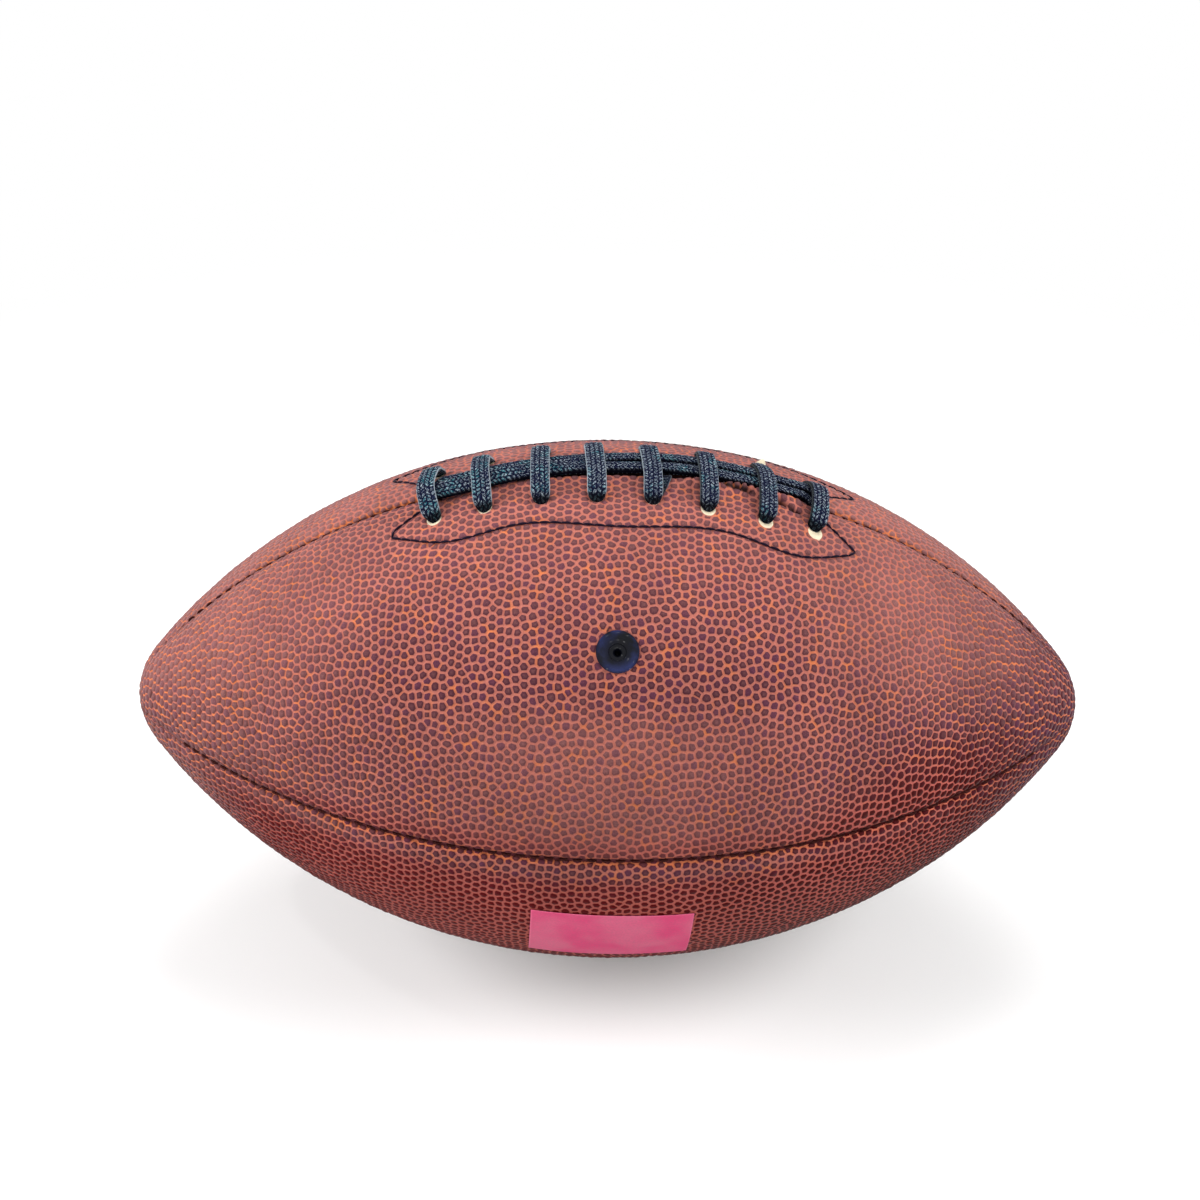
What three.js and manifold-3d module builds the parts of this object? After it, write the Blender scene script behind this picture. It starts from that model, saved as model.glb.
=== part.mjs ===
// An american football: four sewn cover panels over a lined, laced casing with an inflated bladder inside.
// Millimetres, +Z up. The long axis runs along X, the lace seam is on top and the valve looks forward and up,
// towards -Y. The origin is the point under the middle of the ball where its belly rests.
import * as THREE from "three";
import { mergeVertices } from "three/addons/utils/BufferGeometryUtils.js";
import Module from "manifold-3d";

const wasm = await Module();
wasm.setup();

// Ball shape
const BALL_LENGTH = 285;
const BALL_DIAMETER = 158;
const NOSE_RADIUS = 22;
const TIP_OPENING = 3; // across the pinhole where the four panel points meet

// Layers, from the outside in
const COVER_THICKNESS = 2;
const LINING_THICKNESS = 1.6;
const FACING_THICKNESS = 1.2;
const TONGUE_THICKNESS = 1.2;
const BLADDER_THICKNESS = 0.8;
const CLEARANCE = 0.3; // between neighbours that touch
const LAYER_CLEARANCE = 0.5; // between the loose layers under the lacing

// Seams
const FOLD_RADIUS = 0.5; // inside radius where a panel edge turns in
const SEAM_FLANGE = 1.7; // how far the turned-in edge runs on past its fold
const THREAD_DIAMETER = 0.9;

// Lacing
const LACE_HOLES = 8; // on each side of the slit
const HOLE_PITCH = 15.6;
const HOLE_FROM_SEAM = 12;
const HOLE_DIAMETER = 6.2;
const LACING_OFFSET = 2; // the lacing sits this far along from the ball's middle
const SLIT_WIDTH = 5.4;
const SLIT_PAST_HOLES = 7; // open slit past the last hole
const SLIT_CLOSING = 8; // length over which the slit closes to a seam
const LACE_WIDTH = 5.8;
const LACE_THICKNESS = 2;
const LACE_GAP = 0.5; // between two passes of the lace
const LACE_TAIL = 14; // loose end tucked inside
const STRAND_SHIFT = 1.2; // the front strand's middle, in front of the slit

// Stitched outline of the facing, beside the lacing
const STITCH_DIAMETER = 0.8;
const STITCH_MIDDLE = 11.6; // outside the row of holes, at the middle of the lacing
const STITCH_WAIST = 8.7;
const STITCH_SHOULDER = 10.7;
const STITCH_TIP_ALONG = 11.7; // past the last hole
const STITCH_TIP_OUT = 2.5; // outside the row of holes
const FACING_MARGIN = 2.5; // facing outside its stitches

// Tongue between the lace and the bladder
const TONGUE_PAST_HOLES = 23;
const TONGUE_WIDTH = 40;

// Valve
const VALVE_DIAMETER = 12;
const VALVE_TURN = THREE.MathUtils.degToRad(45); // round the ball from the lace seam
const VALVE_RISE = 0.9; // of the rim above the cover
const VALVE_FLANGE = 26;
const VALVE_FLANGE_THICKNESS = 1.2;
const VALVE_SEAT = 1.4; // between the bladder's inside and the flange, for the bond and the bladder's facets
const VALVE_STEM_DIAMETER = 9;
const VALVE_DEPTH = 14; // of the stem below the cover
const CORE_DIAMETER = 5;
const NEEDLE_DIAMETER = 1.6;
const NEEDLE_DEPTH = 11;
const DISH_DEPTH = 1.4; // of the valve's dish below the cover
const DISH_DIAMETER = 8.8;

// Paper label on the lower front panel
const LABEL_LENGTH = 46.5;
const LABEL_HEIGHT = 29;
const LABEL_THICKNESS = 0.2;
const LABEL_TURN = THREE.MathUtils.degToRad(116);

// Fineness of the facets
const STATION_STEP = 18; // along the belly
const REST_FACET = 18; // the facet under the middle that the ball lies on
const NOSE_STEP = 8;
const BLADDER_STEP = 32;
const STITCH_STEP = 5;
const THREAD_SIDES = 6;
const STITCH_SIDES = 5;
const UPPER_LINES = [0.1, 0.2, 0.3, 0.47, 0.64, 0.82]; // shares of a panel's width, closer under the lacing
const LOWER_LINES = [1 / 6, 1 / 3, 1 / 2, 2 / 3, 5 / 6];
const HOLE_SIDES = 8;
const VALVE_SIDES = 20;

const QUARTER = Math.PI / 2;

// The ball's profile is a belly arc that runs tangent into a nose arc at each end.
const BELLY_RADIUS = BALL_DIAMETER / 2;
const NOSE_CENTRE = BALL_LENGTH / 2 - NOSE_RADIUS;
const BELLY_ARC =
  (NOSE_CENTRE ** 2 + BELLY_RADIUS ** 2 - NOSE_RADIUS ** 2) / (2 * (BELLY_RADIUS - NOSE_RADIUS));
const NOSE_START = Math.atan2(NOSE_CENTRE, BELLY_ARC - BELLY_RADIUS);
const TIP_TILT = Math.acos(TIP_OPENING / 2 / NOSE_RADIUS);

// Depths of the layers below the outer surface
const FOLD_OUTSIDE = COVER_THICKNESS + FOLD_RADIUS;
const FLANGE_END = FOLD_OUTSIDE + SEAM_FLANGE;
const LINING_TOP = COVER_THICKNESS + CLEARANCE;
const LINING_BOTTOM = LINING_TOP + LINING_THICKNESS;
const FACING_TOP = LINING_BOTTOM + LAYER_CLEARANCE;
const FACING_BOTTOM = FACING_TOP + FACING_THICKNESS;
const LACE_TOP = Math.max(FACING_BOTTOM, FLANGE_END) + LAYER_CLEARANCE;
const LACE_INSIDE = LACE_TOP + LACE_THICKNESS / 2;
const TONGUE_TOP = LACE_TOP + LACE_THICKNESS + LAYER_CLEARANCE;
const TONGUE_BOTTOM = TONGUE_TOP + TONGUE_THICKNESS;
const BLADDER_TOP = Math.max(LINING_BOTTOM, FLANGE_END) + CLEARANCE;
const BLADDER_DENT = TONGUE_BOTTOM + LAYER_CLEARANCE; // depth of the bladder under the tongue

// Places along the lacing, from its middle
const LAST_HOLE = ((LACE_HOLES - 1) * HOLE_PITCH) / 2;
const SLIT_OPEN = LAST_HOLE + SLIT_PAST_HOLES;
const SLIT_CLOSED = SLIT_OPEN + SLIT_CLOSING;
const TONGUE_END = LAST_HOLE + TONGUE_PAST_HOLES;
const holes = Array.from({ length: LACE_HOLES }, (_, i) => i * HOLE_PITCH - LAST_HOLE);

// Where the profile is at a tilt of its normal from the ball's middle plane, at a depth below the surface.
function section(tilt, depth) {
  const onNose = Math.abs(tilt) > NOSE_START;
  const radius = (onNose ? NOSE_RADIUS : BELLY_ARC) - depth;
  const along = (onNose ? Math.sign(tilt) * NOSE_CENTRE : 0) + radius * Math.sin(tilt);
  const out = (onNose ? 0 : BELLY_RADIUS - BELLY_ARC) + radius * Math.cos(tilt);
  return { along, out };
}

// A point of the ball. Turn goes round the long axis from the lace seam towards the front.
function ballPoint(tilt, turn, depth) {
  const { along, out } = section(tilt, depth);
  return new THREE.Vector3(along, -out * Math.sin(turn), BELLY_RADIUS + out * Math.cos(turn));
}

// The same for a place beside the lacing: along it, in front of the seam, and above the outer surface.
function lacingTilt(along) {
  return Math.asin((along + LACING_OFFSET) / BELLY_ARC);
}
function lacingPoint(along, inFront, above) {
  const tilt = lacingTilt(along);
  return ballPoint(tilt, inFront / section(tilt, 0).out, -above);
}

// Tilts from the first break to the last, in steps no longer than the step given for each stretch.
function stations(breaks, steps) {
  const tilts = [breaks[0]];
  for (let i = 1; i < breaks.length; i++) {
    const radius = Math.abs(breaks[i] + breaks[i - 1]) / 2 > NOSE_START ? NOSE_RADIUS : BELLY_ARC;
    const count = Math.ceil(((breaks[i] - breaks[i - 1]) * radius) / steps[i - 1]);
    for (let k = 1; k <= count; k++) tilts.push(breaks[i - 1] + ((breaks[i] - breaks[i - 1]) * k) / count);
  }
  return tilts;
}
const slitBreaks = [-SLIT_CLOSED, -SLIT_OPEN, SLIT_OPEN, SLIT_CLOSED].map(lacingTilt);
const slitSteps = [STATION_STEP, 2 * SLIT_CLOSING, STATION_STEP, 2 * SLIT_CLOSING, STATION_STEP];
const upperBelly = stations([-NOSE_START, ...slitBreaks, NOSE_START], slitSteps);
const restTilt = Math.asin(REST_FACET / 2 / BELLY_ARC);
const lowerBreaks = [-NOSE_START, -restTilt, restTilt, NOSE_START];
const lowerBelly = stations(lowerBreaks, [STATION_STEP, 2 * REST_FACET, STATION_STEP]);
const nose = stations([NOSE_START, TIP_TILT], [NOSE_STEP]).slice(1);
function wholeLength(belly) {
  return [...nose.map((tilt) => -tilt).reverse(), ...belly, ...nose];
}

// A closed body from its points and triangles, turned so that its faces point out.
function bodyGeometry(points, triangles) {
  let volume = 0;
  for (let i = 0; i < triangles.length; i += 3) {
    const [a, b, c] = [0, 1, 2].map((k) => points[triangles[i + k]]);
    volume += a.dot(new THREE.Vector3().crossVectors(b, c));
  }
  const facingOut = volume < 0 ? [...triangles].reverse() : triangles;
  const geometry = new THREE.BufferGeometry().setFromPoints(points);
  geometry.setIndex(facingOut);
  geometry.computeVertexNormals();
  return geometry;
}

// A sheet of material from a grid of points on its outer side and a like grid on its inner side.
function sheetGeometry(outer, inner) {
  const rows = outer.length;
  const columns = outer[0].length;
  const triangles = [];
  const quad = (a, b, c, d) => triangles.push(a, b, c, a, c, d);
  const out = (i, k) => i * columns + k;
  const under = (i, k) => (rows + i) * columns + k;
  const lastRow = rows - 1;
  const lastColumn = columns - 1;
  for (let i = 0; i < lastRow; i++) {
    for (let k = 0; k < lastColumn; k++) {
      quad(out(i, k), out(i, k + 1), out(i + 1, k + 1), out(i + 1, k));
      quad(under(i, k), under(i + 1, k), under(i + 1, k + 1), under(i, k + 1));
    }
    quad(out(i, 0), out(i + 1, 0), under(i + 1, 0), under(i, 0));
    quad(out(i, lastColumn), under(i, lastColumn), under(i + 1, lastColumn), out(i + 1, lastColumn));
  }
  for (let k = 0; k < lastColumn; k++) {
    quad(out(0, k), under(0, k), under(0, k + 1), out(0, k + 1));
    quad(out(lastRow, k), out(lastRow, k + 1), under(lastRow, k + 1), under(lastRow, k));
  }
  return bodyGeometry([...outer.flat(), ...inner.flat()], triangles);
}

// A closed body through rings of points, with a flat cap on the first and the last ring.
function ringGeometry(rings) {
  const sides = rings[0].length;
  const triangles = [];
  for (let i = 0; i < rings.length - 1; i++) {
    for (let k = 0; k < sides; k++) {
      const next = (k + 1) % sides;
      const [a, b, c, d] = [i * sides + k, i * sides + next, (i + 1) * sides + next, (i + 1) * sides + k];
      triangles.push(a, b, c, a, c, d);
    }
  }
  const last = (rings.length - 1) * sides;
  for (let k = 1; k < sides - 1; k++) triangles.push(0, k + 1, k, last, last + k, last + k + 1);
  return bodyGeometry(rings.flat(), triangles);
}

// A round cord along a curve.
function cordGeometry(points, diameter, sides, step) {
  const path = new THREE.CatmullRomCurve3(points);
  const round = Array.from({ length: sides }, (_, k) => {
    const angle = (k / sides) * 2 * Math.PI;
    return new THREE.Vector2(Math.cos(angle), Math.sin(angle)).multiplyScalar(diameter / 2);
  });
  const steps = Math.ceil(path.getLength() / step);
  return new THREE.ExtrudeGeometry(new THREE.Shape(round), { steps, extrudePath: path });
}

// Boolean cuts on closed bodies
function solidOf(geometry) {
  const bare = new THREE.BufferGeometry();
  bare.setAttribute("position", geometry.getAttribute("position"));
  bare.setIndex(geometry.index);
  const merged = mergeVertices(bare, 1e-4);
  const vertProperties = merged.getAttribute("position").array;
  return new wasm.Manifold(
    new wasm.Mesh({ numProp: 3, vertProperties, triVerts: new Uint32Array(merged.index.array) }),
  );
}
function cut(geometry, tools) {
  let left = solidOf(geometry);
  for (const tool of tools) left = left.subtract(solidOf(tool));
  const { vertProperties, triVerts } = left.getMesh();
  const made = new THREE.BufferGeometry();
  made.setAttribute("position", new THREE.BufferAttribute(vertProperties, 3));
  made.setIndex(new THREE.BufferAttribute(triVerts, 1));
  made.computeVertexNormals();
  return made;
}

// A round punch through the layers, square to the surface at a tilt and a turn.
const PUNCH_LENGTH = 2 * BLADDER_DENT;
function punch(tilt, turn, diameter, sides) {
  const outside = ballPoint(tilt, turn, 0);
  const outward = outside.clone().sub(ballPoint(tilt, turn, 1));
  const stick = new THREE.CylinderGeometry(diameter / 2, diameter / 2, PUNCH_LENGTH, sides);
  const turned = new THREE.Quaternion().setFromUnitVectors(new THREE.Vector3(0, 1, 0), outward);
  return stick.applyQuaternion(turned).translate(outside.x, outside.y, outside.z);
}
function lacePunches(side) {
  return holes.map((along) => {
    const tilt = lacingTilt(along);
    return punch(tilt, (side * HOLE_FROM_SEAM) / section(tilt, 0).out, HOLE_DIAMETER, HOLE_SIDES);
  });
}
const valvePunch = punch(0, VALVE_TURN, VALVE_DIAMETER + 2 * CLEARANCE, VALVE_SIDES);

// Half the gap at a seam. The lace seam opens to the slit under the lacing.
function closedGap() {
  return CLEARANCE / 2;
}
function laceGap(tilt) {
  const fromMiddle = Math.abs(BELLY_ARC * Math.sin(tilt) - LACING_OFFSET);
  const open = THREE.MathUtils.clamp((SLIT_CLOSED - fromMiddle) / SLIT_CLOSING, 0, 1);
  return THREE.MathUtils.lerp(closedGap(), SLIT_WIDTH / 2, open);
}

const panels = [
  { place: "upper_front", start: 0, end: QUARTER, gap: laceGap, lines: UPPER_LINES, belly: upperBelly },
  { place: "upper_back", start: 0, end: -QUARTER, gap: laceGap, lines: UPPER_LINES, belly: upperBelly },
  { place: "lower_front", start: QUARTER, end: Math.PI, gap: closedGap, lines: LOWER_LINES, belly: lowerBelly },
  { place: "lower_back", start: -QUARTER, end: -Math.PI, gap: closedGap, lines: LOWER_LINES, belly: lowerBelly },
];

// The turn at a distance from a panel's first or second seam plane.
function turnFromStart(panel, tilt, depth, distance) {
  return panel.start + Math.sign(panel.end - panel.start) * Math.asin(distance / section(tilt, depth).out);
}
function turnFromEnd(panel, tilt, depth, distance) {
  return panel.end - Math.sign(panel.end - panel.start) * Math.asin(distance / section(tilt, depth).out);
}

// Panel edges shrink towards the tip, where each panel comes to a point: their folds span this angle at most.
const FOLD_SPAN = THREE.MathUtils.degToRad(22);
function edgeShare(tilt, gap) {
  const room = section(tilt, 0).out * Math.sin(FOLD_SPAN) - gap;
  return Math.min(1, room / FOLD_OUTSIDE);
}

// Turns of the lines along a panel at one station, from the end of one fold to the start of the other.
function panelTurns(panel, tilt) {
  const [gap, farGap] = [panel.gap(tilt), closedGap()];
  const from = turnFromStart(panel, tilt, 0, gap + FOLD_OUTSIDE * edgeShare(tilt, gap));
  const to = turnFromEnd(panel, tilt, 0, farGap + FOLD_OUTSIDE * edgeShare(tilt, farGap));
  return [0, ...panel.lines, 1].map((share) => THREE.MathUtils.lerp(from, to, share));
}

// One edge of a panel at a station, from the end of its flange round the fold, on the outer and the inner side.
const FOLD_STEPS = 2;
function foldedEdge(tilt, gap, turnAt) {
  const share = edgeShare(tilt, gap);
  const bend = FOLD_OUTSIDE * share;
  const sides = [bend, FOLD_RADIUS * share].map((radius) => {
    const end = { distance: gap + bend - radius, depth: bend + SEAM_FLANGE };
    const round = Array.from({ length: FOLD_STEPS }, (_, k) => {
      const angle = (k / FOLD_STEPS) * QUARTER;
      return { distance: gap + bend - radius * Math.cos(angle), depth: bend - radius * Math.sin(angle) };
    });
    return [end, ...round].map((p) => ballPoint(tilt, turnAt(tilt, p.depth, p.distance), p.depth));
  });
  return { outer: sides[0], inner: sides[1] };
}
function coverPanel(panel) {
  const outer = [];
  const inner = [];
  for (const tilt of wholeLength(panel.belly)) {
    const first = foldedEdge(tilt, panel.gap(tilt), (...at) => turnFromStart(panel, ...at));
    const last = foldedEdge(tilt, closedGap(), (...at) => turnFromEnd(panel, ...at));
    const turns = panelTurns(panel, tilt);
    const middle = (depth) => turns.map((turn) => ballPoint(tilt, turn, depth));
    outer.push([...first.outer, ...middle(0), ...last.outer.reverse()]);
    inner.push([...first.inner, ...middle(COVER_THICKNESS), ...last.inner.reverse()]);
  }
  return sheetGeometry(outer, inner);
}

// A lining fills its panel between the turned-in edges, up to where the noses begin.
function liningPanel(panel) {
  const rows = (depth) =>
    panel.belly.map((tilt) => {
      const edge = COVER_THICKNESS + CLEARANCE;
      const turns = panelTurns(panel, tilt);
      turns[0] = turnFromStart(panel, tilt, LINING_TOP, panel.gap(tilt) + edge);
      turns[turns.length - 1] = turnFromEnd(panel, tilt, LINING_TOP, closedGap() + edge);
      return turns.map((turn) => ballPoint(tilt, turn, depth));
    });
  return sheetGeometry(rows(LINING_TOP), rows(LINING_BOTTOM));
}
function punches(panel) {
  const side = Math.sign(panel.end);
  if (panel.start !== 0) return [];
  return side > 0 ? [...lacePunches(side), valvePunch] : lacePunches(side);
}

// Sewing thread lying in the groove between two folded edges
const THREAD_GROOVE =
  FOLD_OUTSIDE -
  Math.sqrt((FOLD_OUTSIDE + THREAD_DIAMETER / 2 + CLEARANCE) ** 2 - (FOLD_OUTSIDE + CLEARANCE / 2) ** 2);
function seamThread(turn, tilts) {
  const points = tilts.map((tilt) => ballPoint(tilt, turn, THREAD_GROOVE));
  return cordGeometry(points, THREAD_DIAMETER, THREAD_SIDES, STATION_STEP);
}

// The stitched outline beside the lacing, as (along, distance from the seam) from the lacing's middle to its end
const stitchTip = [LAST_HOLE + STITCH_TIP_ALONG, HOLE_FROM_SEAM + STITCH_TIP_OUT];
const stitchEnd = [LAST_HOLE, SLIT_WIDTH / 2 + FOLD_OUTSIDE];
const stitchHalf = [
  [0, HOLE_FROM_SEAM + STITCH_MIDDLE],
  [LAST_HOLE / 2, HOLE_FROM_SEAM + STITCH_WAIST],
  [LAST_HOLE - HOLE_PITCH / 3, HOLE_FROM_SEAM + STITCH_SHOULDER],
  stitchTip,
].map((p) => new THREE.Vector2(...p));
const stitchCurve = new THREE.SplineCurve([
  ...stitchHalf.slice(1).map((p) => new THREE.Vector2(-p.x, p.y)).reverse(),
  ...stitchHalf,
]);
const STITCH_POINTS = 30;
function facingStitch(side) {
  const height = CLEARANCE + STITCH_DIAMETER / 2;
  const outside = stitchCurve.getSpacedPoints(STITCH_POINTS).map((p) => [p.x, p.y]);
  const outline = [[-stitchEnd[0], stitchEnd[1]], ...outside, stitchEnd];
  const points = outline.map(([along, distance]) => lacingPoint(along, side * distance, height));
  return cordGeometry(points, STITCH_DIAMETER, STITCH_SIDES, STITCH_STEP);
}

// The facing backs the lace holes inside the lining, a margin wider than its stitches.
const FACING_ROWS = 12;
const FACING_COLUMNS = 3;
function facing(side) {
  const rows = (depth) =>
    Array.from({ length: FACING_ROWS + 1 }, (_, i) => {
      const share = (2 * i) / FACING_ROWS - 1;
      const along = share * (stitchTip[0] + FACING_MARGIN);
      const tilt = lacingTilt(along);
      const outerEdge = stitchCurve.getPoint(i / FACING_ROWS).y + FACING_MARGIN;
      const besideFlange = laceGap(tilt) + COVER_THICKNESS + CLEARANCE;
      const pastEnd = THREE.MathUtils.smoothstep(Math.abs(along), LAST_HOLE, stitchTip[0] + FACING_MARGIN);
      const innerEdge = THREE.MathUtils.lerp(besideFlange, stitchTip[1] - FACING_MARGIN, pastEnd);
      return Array.from({ length: FACING_COLUMNS + 1 }, (_, k) => {
        const distance = THREE.MathUtils.lerp(innerEdge, outerEdge, k / FACING_COLUMNS);
        return lacingPoint(along, side * distance, -depth);
      });
    });
  return cut(sheetGeometry(rows(FACING_TOP), rows(FACING_BOTTOM)), lacePunches(side));
}

// The tongue is a strip with round ends between the lace and the bladder.
const TONGUE_ROWS = 12;
const TONGUE_COLUMNS = 6;
const TONGUE_END_SHARE = 0.97; // the last row stops short of the tongue's rounded end
function tongue() {
  const rows = (depth) =>
    Array.from({ length: TONGUE_ROWS + 1 }, (_, i) => {
      const share = ((2 * i) / TONGUE_ROWS - 1) * TONGUE_END_SHARE;
      const halfWidth = (TONGUE_WIDTH / 2) * Math.sqrt(1 - share ** 6);
      return Array.from({ length: TONGUE_COLUMNS + 1 }, (_, k) =>
        lacingPoint(share * TONGUE_END, halfWidth * ((2 * k) / TONGUE_COLUMNS - 1), -depth),
      );
    });
  return sheetGeometry(rows(TONGUE_TOP), rows(TONGUE_BOTTOM));
}

// The bladder fills the casing and is pressed in under the tongue.
const DENT_MARGIN_ACROSS = 8;
const DENT_MARGIN_ALONG = 20;
const DENT_SLOPE = 12;
function bladderDepth(tilt, turn) {
  const { along, out } = section(tilt, 0);
  const past = Math.abs(along - LACING_OFFSET) - TONGUE_END - DENT_MARGIN_ALONG;
  const beside = Math.abs(turn) * out - TONGUE_WIDTH / 2 - DENT_MARGIN_ACROSS;
  const dent = 1 - THREE.MathUtils.smoothstep(Math.max(past / 2, beside), 0, DENT_SLOPE);
  return THREE.MathUtils.lerp(BLADDER_TOP, BLADDER_DENT, dent);
}
function bladder() {
  const belly = stations([-NOSE_START, NOSE_START], [BLADDER_STEP]);
  const skin = (below) =>
    ringGeometry(
      wholeLength(belly).map((tilt) => {
        const around = [panels[0], panels[2]].flatMap((panel) => [panel.start, ...panelTurns(panel, tilt)]);
        const turns = [...around, Math.PI, ...around.slice(1).reverse().map((turn) => -turn)];
        return turns.map((turn) => ballPoint(tilt, turn, bladderDepth(tilt, turn) + below));
      }),
    );
  return cut(skin(0), [skin(BLADDER_THICKNESS), valvePunch]);
}

// One lace. Each stop of its route gives a place beside the lacing, the way its flat side lies, and its section.
const ALONG = 0; // flat width along the ball
const ACROSS = 1; // flat width across the slit
const flat = { width: LACE_WIDTH, thickness: LACE_THICKNESS };
// Drawn through a hole, the lace gathers to fill it, less the clearance.
const GATHER_ANGLE = THREE.MathUtils.degToRad(30);
function gathered(opening) {
  const span = opening - 2 * CLEARANCE;
  return { width: span * Math.cos(GATHER_ANGLE), thickness: span * Math.sin(GATHER_ANGLE) };
}
const inHole = gathered(HOLE_DIAMETER);
const inSlit = gathered(SLIT_WIDTH);
const stop = (along, inFront, above, lie, form) => ({ along, inFront, above, lie, form });

const LOW = CLEARANCE + LACE_THICKNESS / 2; // height of a strand lying on the cover
const HIGH = LOW + LACE_THICKNESS + LACE_GAP; // height of a strand lying on the other strand
const FRONT_STRAND = STRAND_SHIFT;
const BACK_STRAND = STRAND_SHIFT - LACE_WIDTH - LACE_GAP;
const LOWER_COLUMN = LAST_HOLE + LACE_THICKNESS / 2; // where the lower strand drops into the slit
const UPPER_COLUMN = LOWER_COLUMN + inSlit.thickness + LACE_GAP;
const BEND = LACE_THICKNESS; // bending radius at the middle of the lace

// A cross goes up through the front hole, over both strands and down through the back hole.
function cross(along, strandHeight) {
  const top = strandHeight + LACE_THICKNESS + LACE_GAP;
  const [front, back] = [FRONT_STRAND + LACE_WIDTH / 2, BACK_STRAND - LACE_WIDTH / 2];
  const shoulder = top - LACE_THICKNESS / 4;
  return [
    stop(along, HOLE_FROM_SEAM - BEND, -LACE_INSIDE, ALONG, flat),
    stop(along, HOLE_FROM_SEAM, -LACE_INSIDE + BEND, ALONG, inHole),
    stop(along, HOLE_FROM_SEAM, 0, ALONG, inHole),
    stop(along, HOLE_FROM_SEAM - BEND / 2, BEND, ALONG, flat),
    stop(along, front + LACE_GAP, shoulder, ALONG, flat),
    stop(along, (front + back) / 2, top, ALONG, flat),
    stop(along, back - LACE_GAP / 2, shoulder, ALONG, flat),
    stop(along, -HOLE_FROM_SEAM + BEND / 4, BEND, ALONG, flat),
    stop(along, -HOLE_FROM_SEAM, 0, ALONG, inHole),
    stop(along, -HOLE_FROM_SEAM, -LACE_INSIDE + BEND, ALONG, inHole),
    stop(along, -HOLE_FROM_SEAM + BEND, -LACE_INSIDE, ALONG, flat),
  ];
}

// Inside, the lace slants from the back of one cross to the front of the next.
function slant(from, to) {
  const reach = HOLE_FROM_SEAM - BEND;
  return [0.25, 0.5, 0.75].map((share) =>
    stop(THREE.MathUtils.lerp(from, to, share), (2 * share - 1) * reach, -LACE_INSIDE, ALONG, flat),
  );
}

// Each end of the slit: from the strand down through the slit. Side is -1 at the left end, 1 at the right end.
function drop(side, column, height) {
  return [
    stop(side * (column - LACE_WIDTH), 0, height, ACROSS, flat),
    stop(side * (column - BEND), 0, height, ACROSS, flat),
    stop(side * column, 0, height - BEND, ACROSS, inSlit),
    stop(side * column, 0, -FOLD_OUTSIDE, ACROSS, inSlit),
  ];
}
function tail(side) {
  return [
    stop(side * UPPER_COLUMN, 0, -LACE_INSIDE + BEND, ACROSS, inSlit),
    stop(side * (UPPER_COLUMN + BEND), 0, -LACE_INSIDE, ACROSS, flat),
    stop(side * (UPPER_COLUMN + LACE_TAIL), 0, -LACE_INSIDE, ACROSS, flat),
  ];
}
// From the lower strand's drop to the hole beside it, or back: the lace turns edge on in the slit, then lies flat.
function toHole(side, front) {
  return [
    stop(side * LOWER_COLUMN, 0, -LACE_INSIDE + BEND, ALONG, inSlit),
    stop(side * LOWER_COLUMN, front * BEND, -LACE_INSIDE, ALONG, flat),
  ];
}
// The strands lie side by side between the crosses and one on the other under the end crosses.
function strand(inFront, startHigh) {
  const [first, last] = [holes[0], holes[LACE_HOLES - 1]];
  const spread = HOLE_PITCH / 2;
  const underCross = 0.15; // share of the pitch that a strand lies level on either side of a cross
  const leave = stop(first + spread, inFront, startHigh ? HIGH : LOW, ACROSS, flat);
  const arrive = stop(last - spread, inFront, startHigh ? LOW : HIGH, ACROSS, flat);
  const between = [];
  for (const along of holes.slice(1, -1)) {
    between.push(stop(along - underCross * HOLE_PITCH, inFront, LOW, ACROSS, flat));
    between.push(stop(along + underCross * HOLE_PITCH, inFront, LOW, ACROSS, flat));
  }
  return [leave, ...between, arrive];
}
const laceRoute = [
  ...tail(-1).reverse(),
  ...drop(-1, UPPER_COLUMN, HIGH).reverse(),
  ...strand(FRONT_STRAND, true),
  ...drop(1, LOWER_COLUMN, LOW),
  ...toHole(1, 1),
  ...[...holes].reverse().flatMap((along, i, row) => [
    ...cross(along, i % (LACE_HOLES - 1) === 0 ? HIGH : LOW),
    ...(i < LACE_HOLES - 1 ? slant(along, row[i + 1]) : []),
  ]),
  ...toHole(-1, -1).reverse(),
  ...drop(-1, LOWER_COLUMN, LOW).reverse(),
  ...strand(BACK_STRAND, false),
  ...drop(1, UPPER_COLUMN, HIGH),
  ...tail(1),
];

// Corners of the lace's section, as shares of half its width and half its thickness
const LACE_SIDES = [[1, 0], [0.7, 1], [-0.7, 1], [-1, 0], [-0.7, -1], [0.7, -1]];
function lace() {
  const path = new THREE.CatmullRomCurve3(laceRoute.map((s) => lacingPoint(s.along, s.inFront, s.above)));
  const flatWays = laceRoute.map((s) => {
    const here = lacingPoint(s.along, s.inFront, s.above);
    const there =
      s.lie === ALONG
        ? lacingPoint(s.along + 1, s.inFront, s.above)
        : lacingPoint(s.along, s.inFront + 1, s.above);
    return there.sub(here).normalize();
  });
  const rings = laceRoute.map(({ form }, i) => {
    const ahead = path.getTangent(i / (laceRoute.length - 1));
    const wide = flatWays[i].addScaledVector(ahead, -flatWays[i].dot(ahead)).normalize();
    const thick = new THREE.Vector3().crossVectors(ahead, wide);
    return LACE_SIDES.map(([w, t]) =>
      path.points[i]
        .clone()
        .addScaledVector(wide, (w * form.width) / 2)
        .addScaledVector(thick, (t * form.thickness) / 2),
    );
  });
  return ringGeometry(rings);
}

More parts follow.
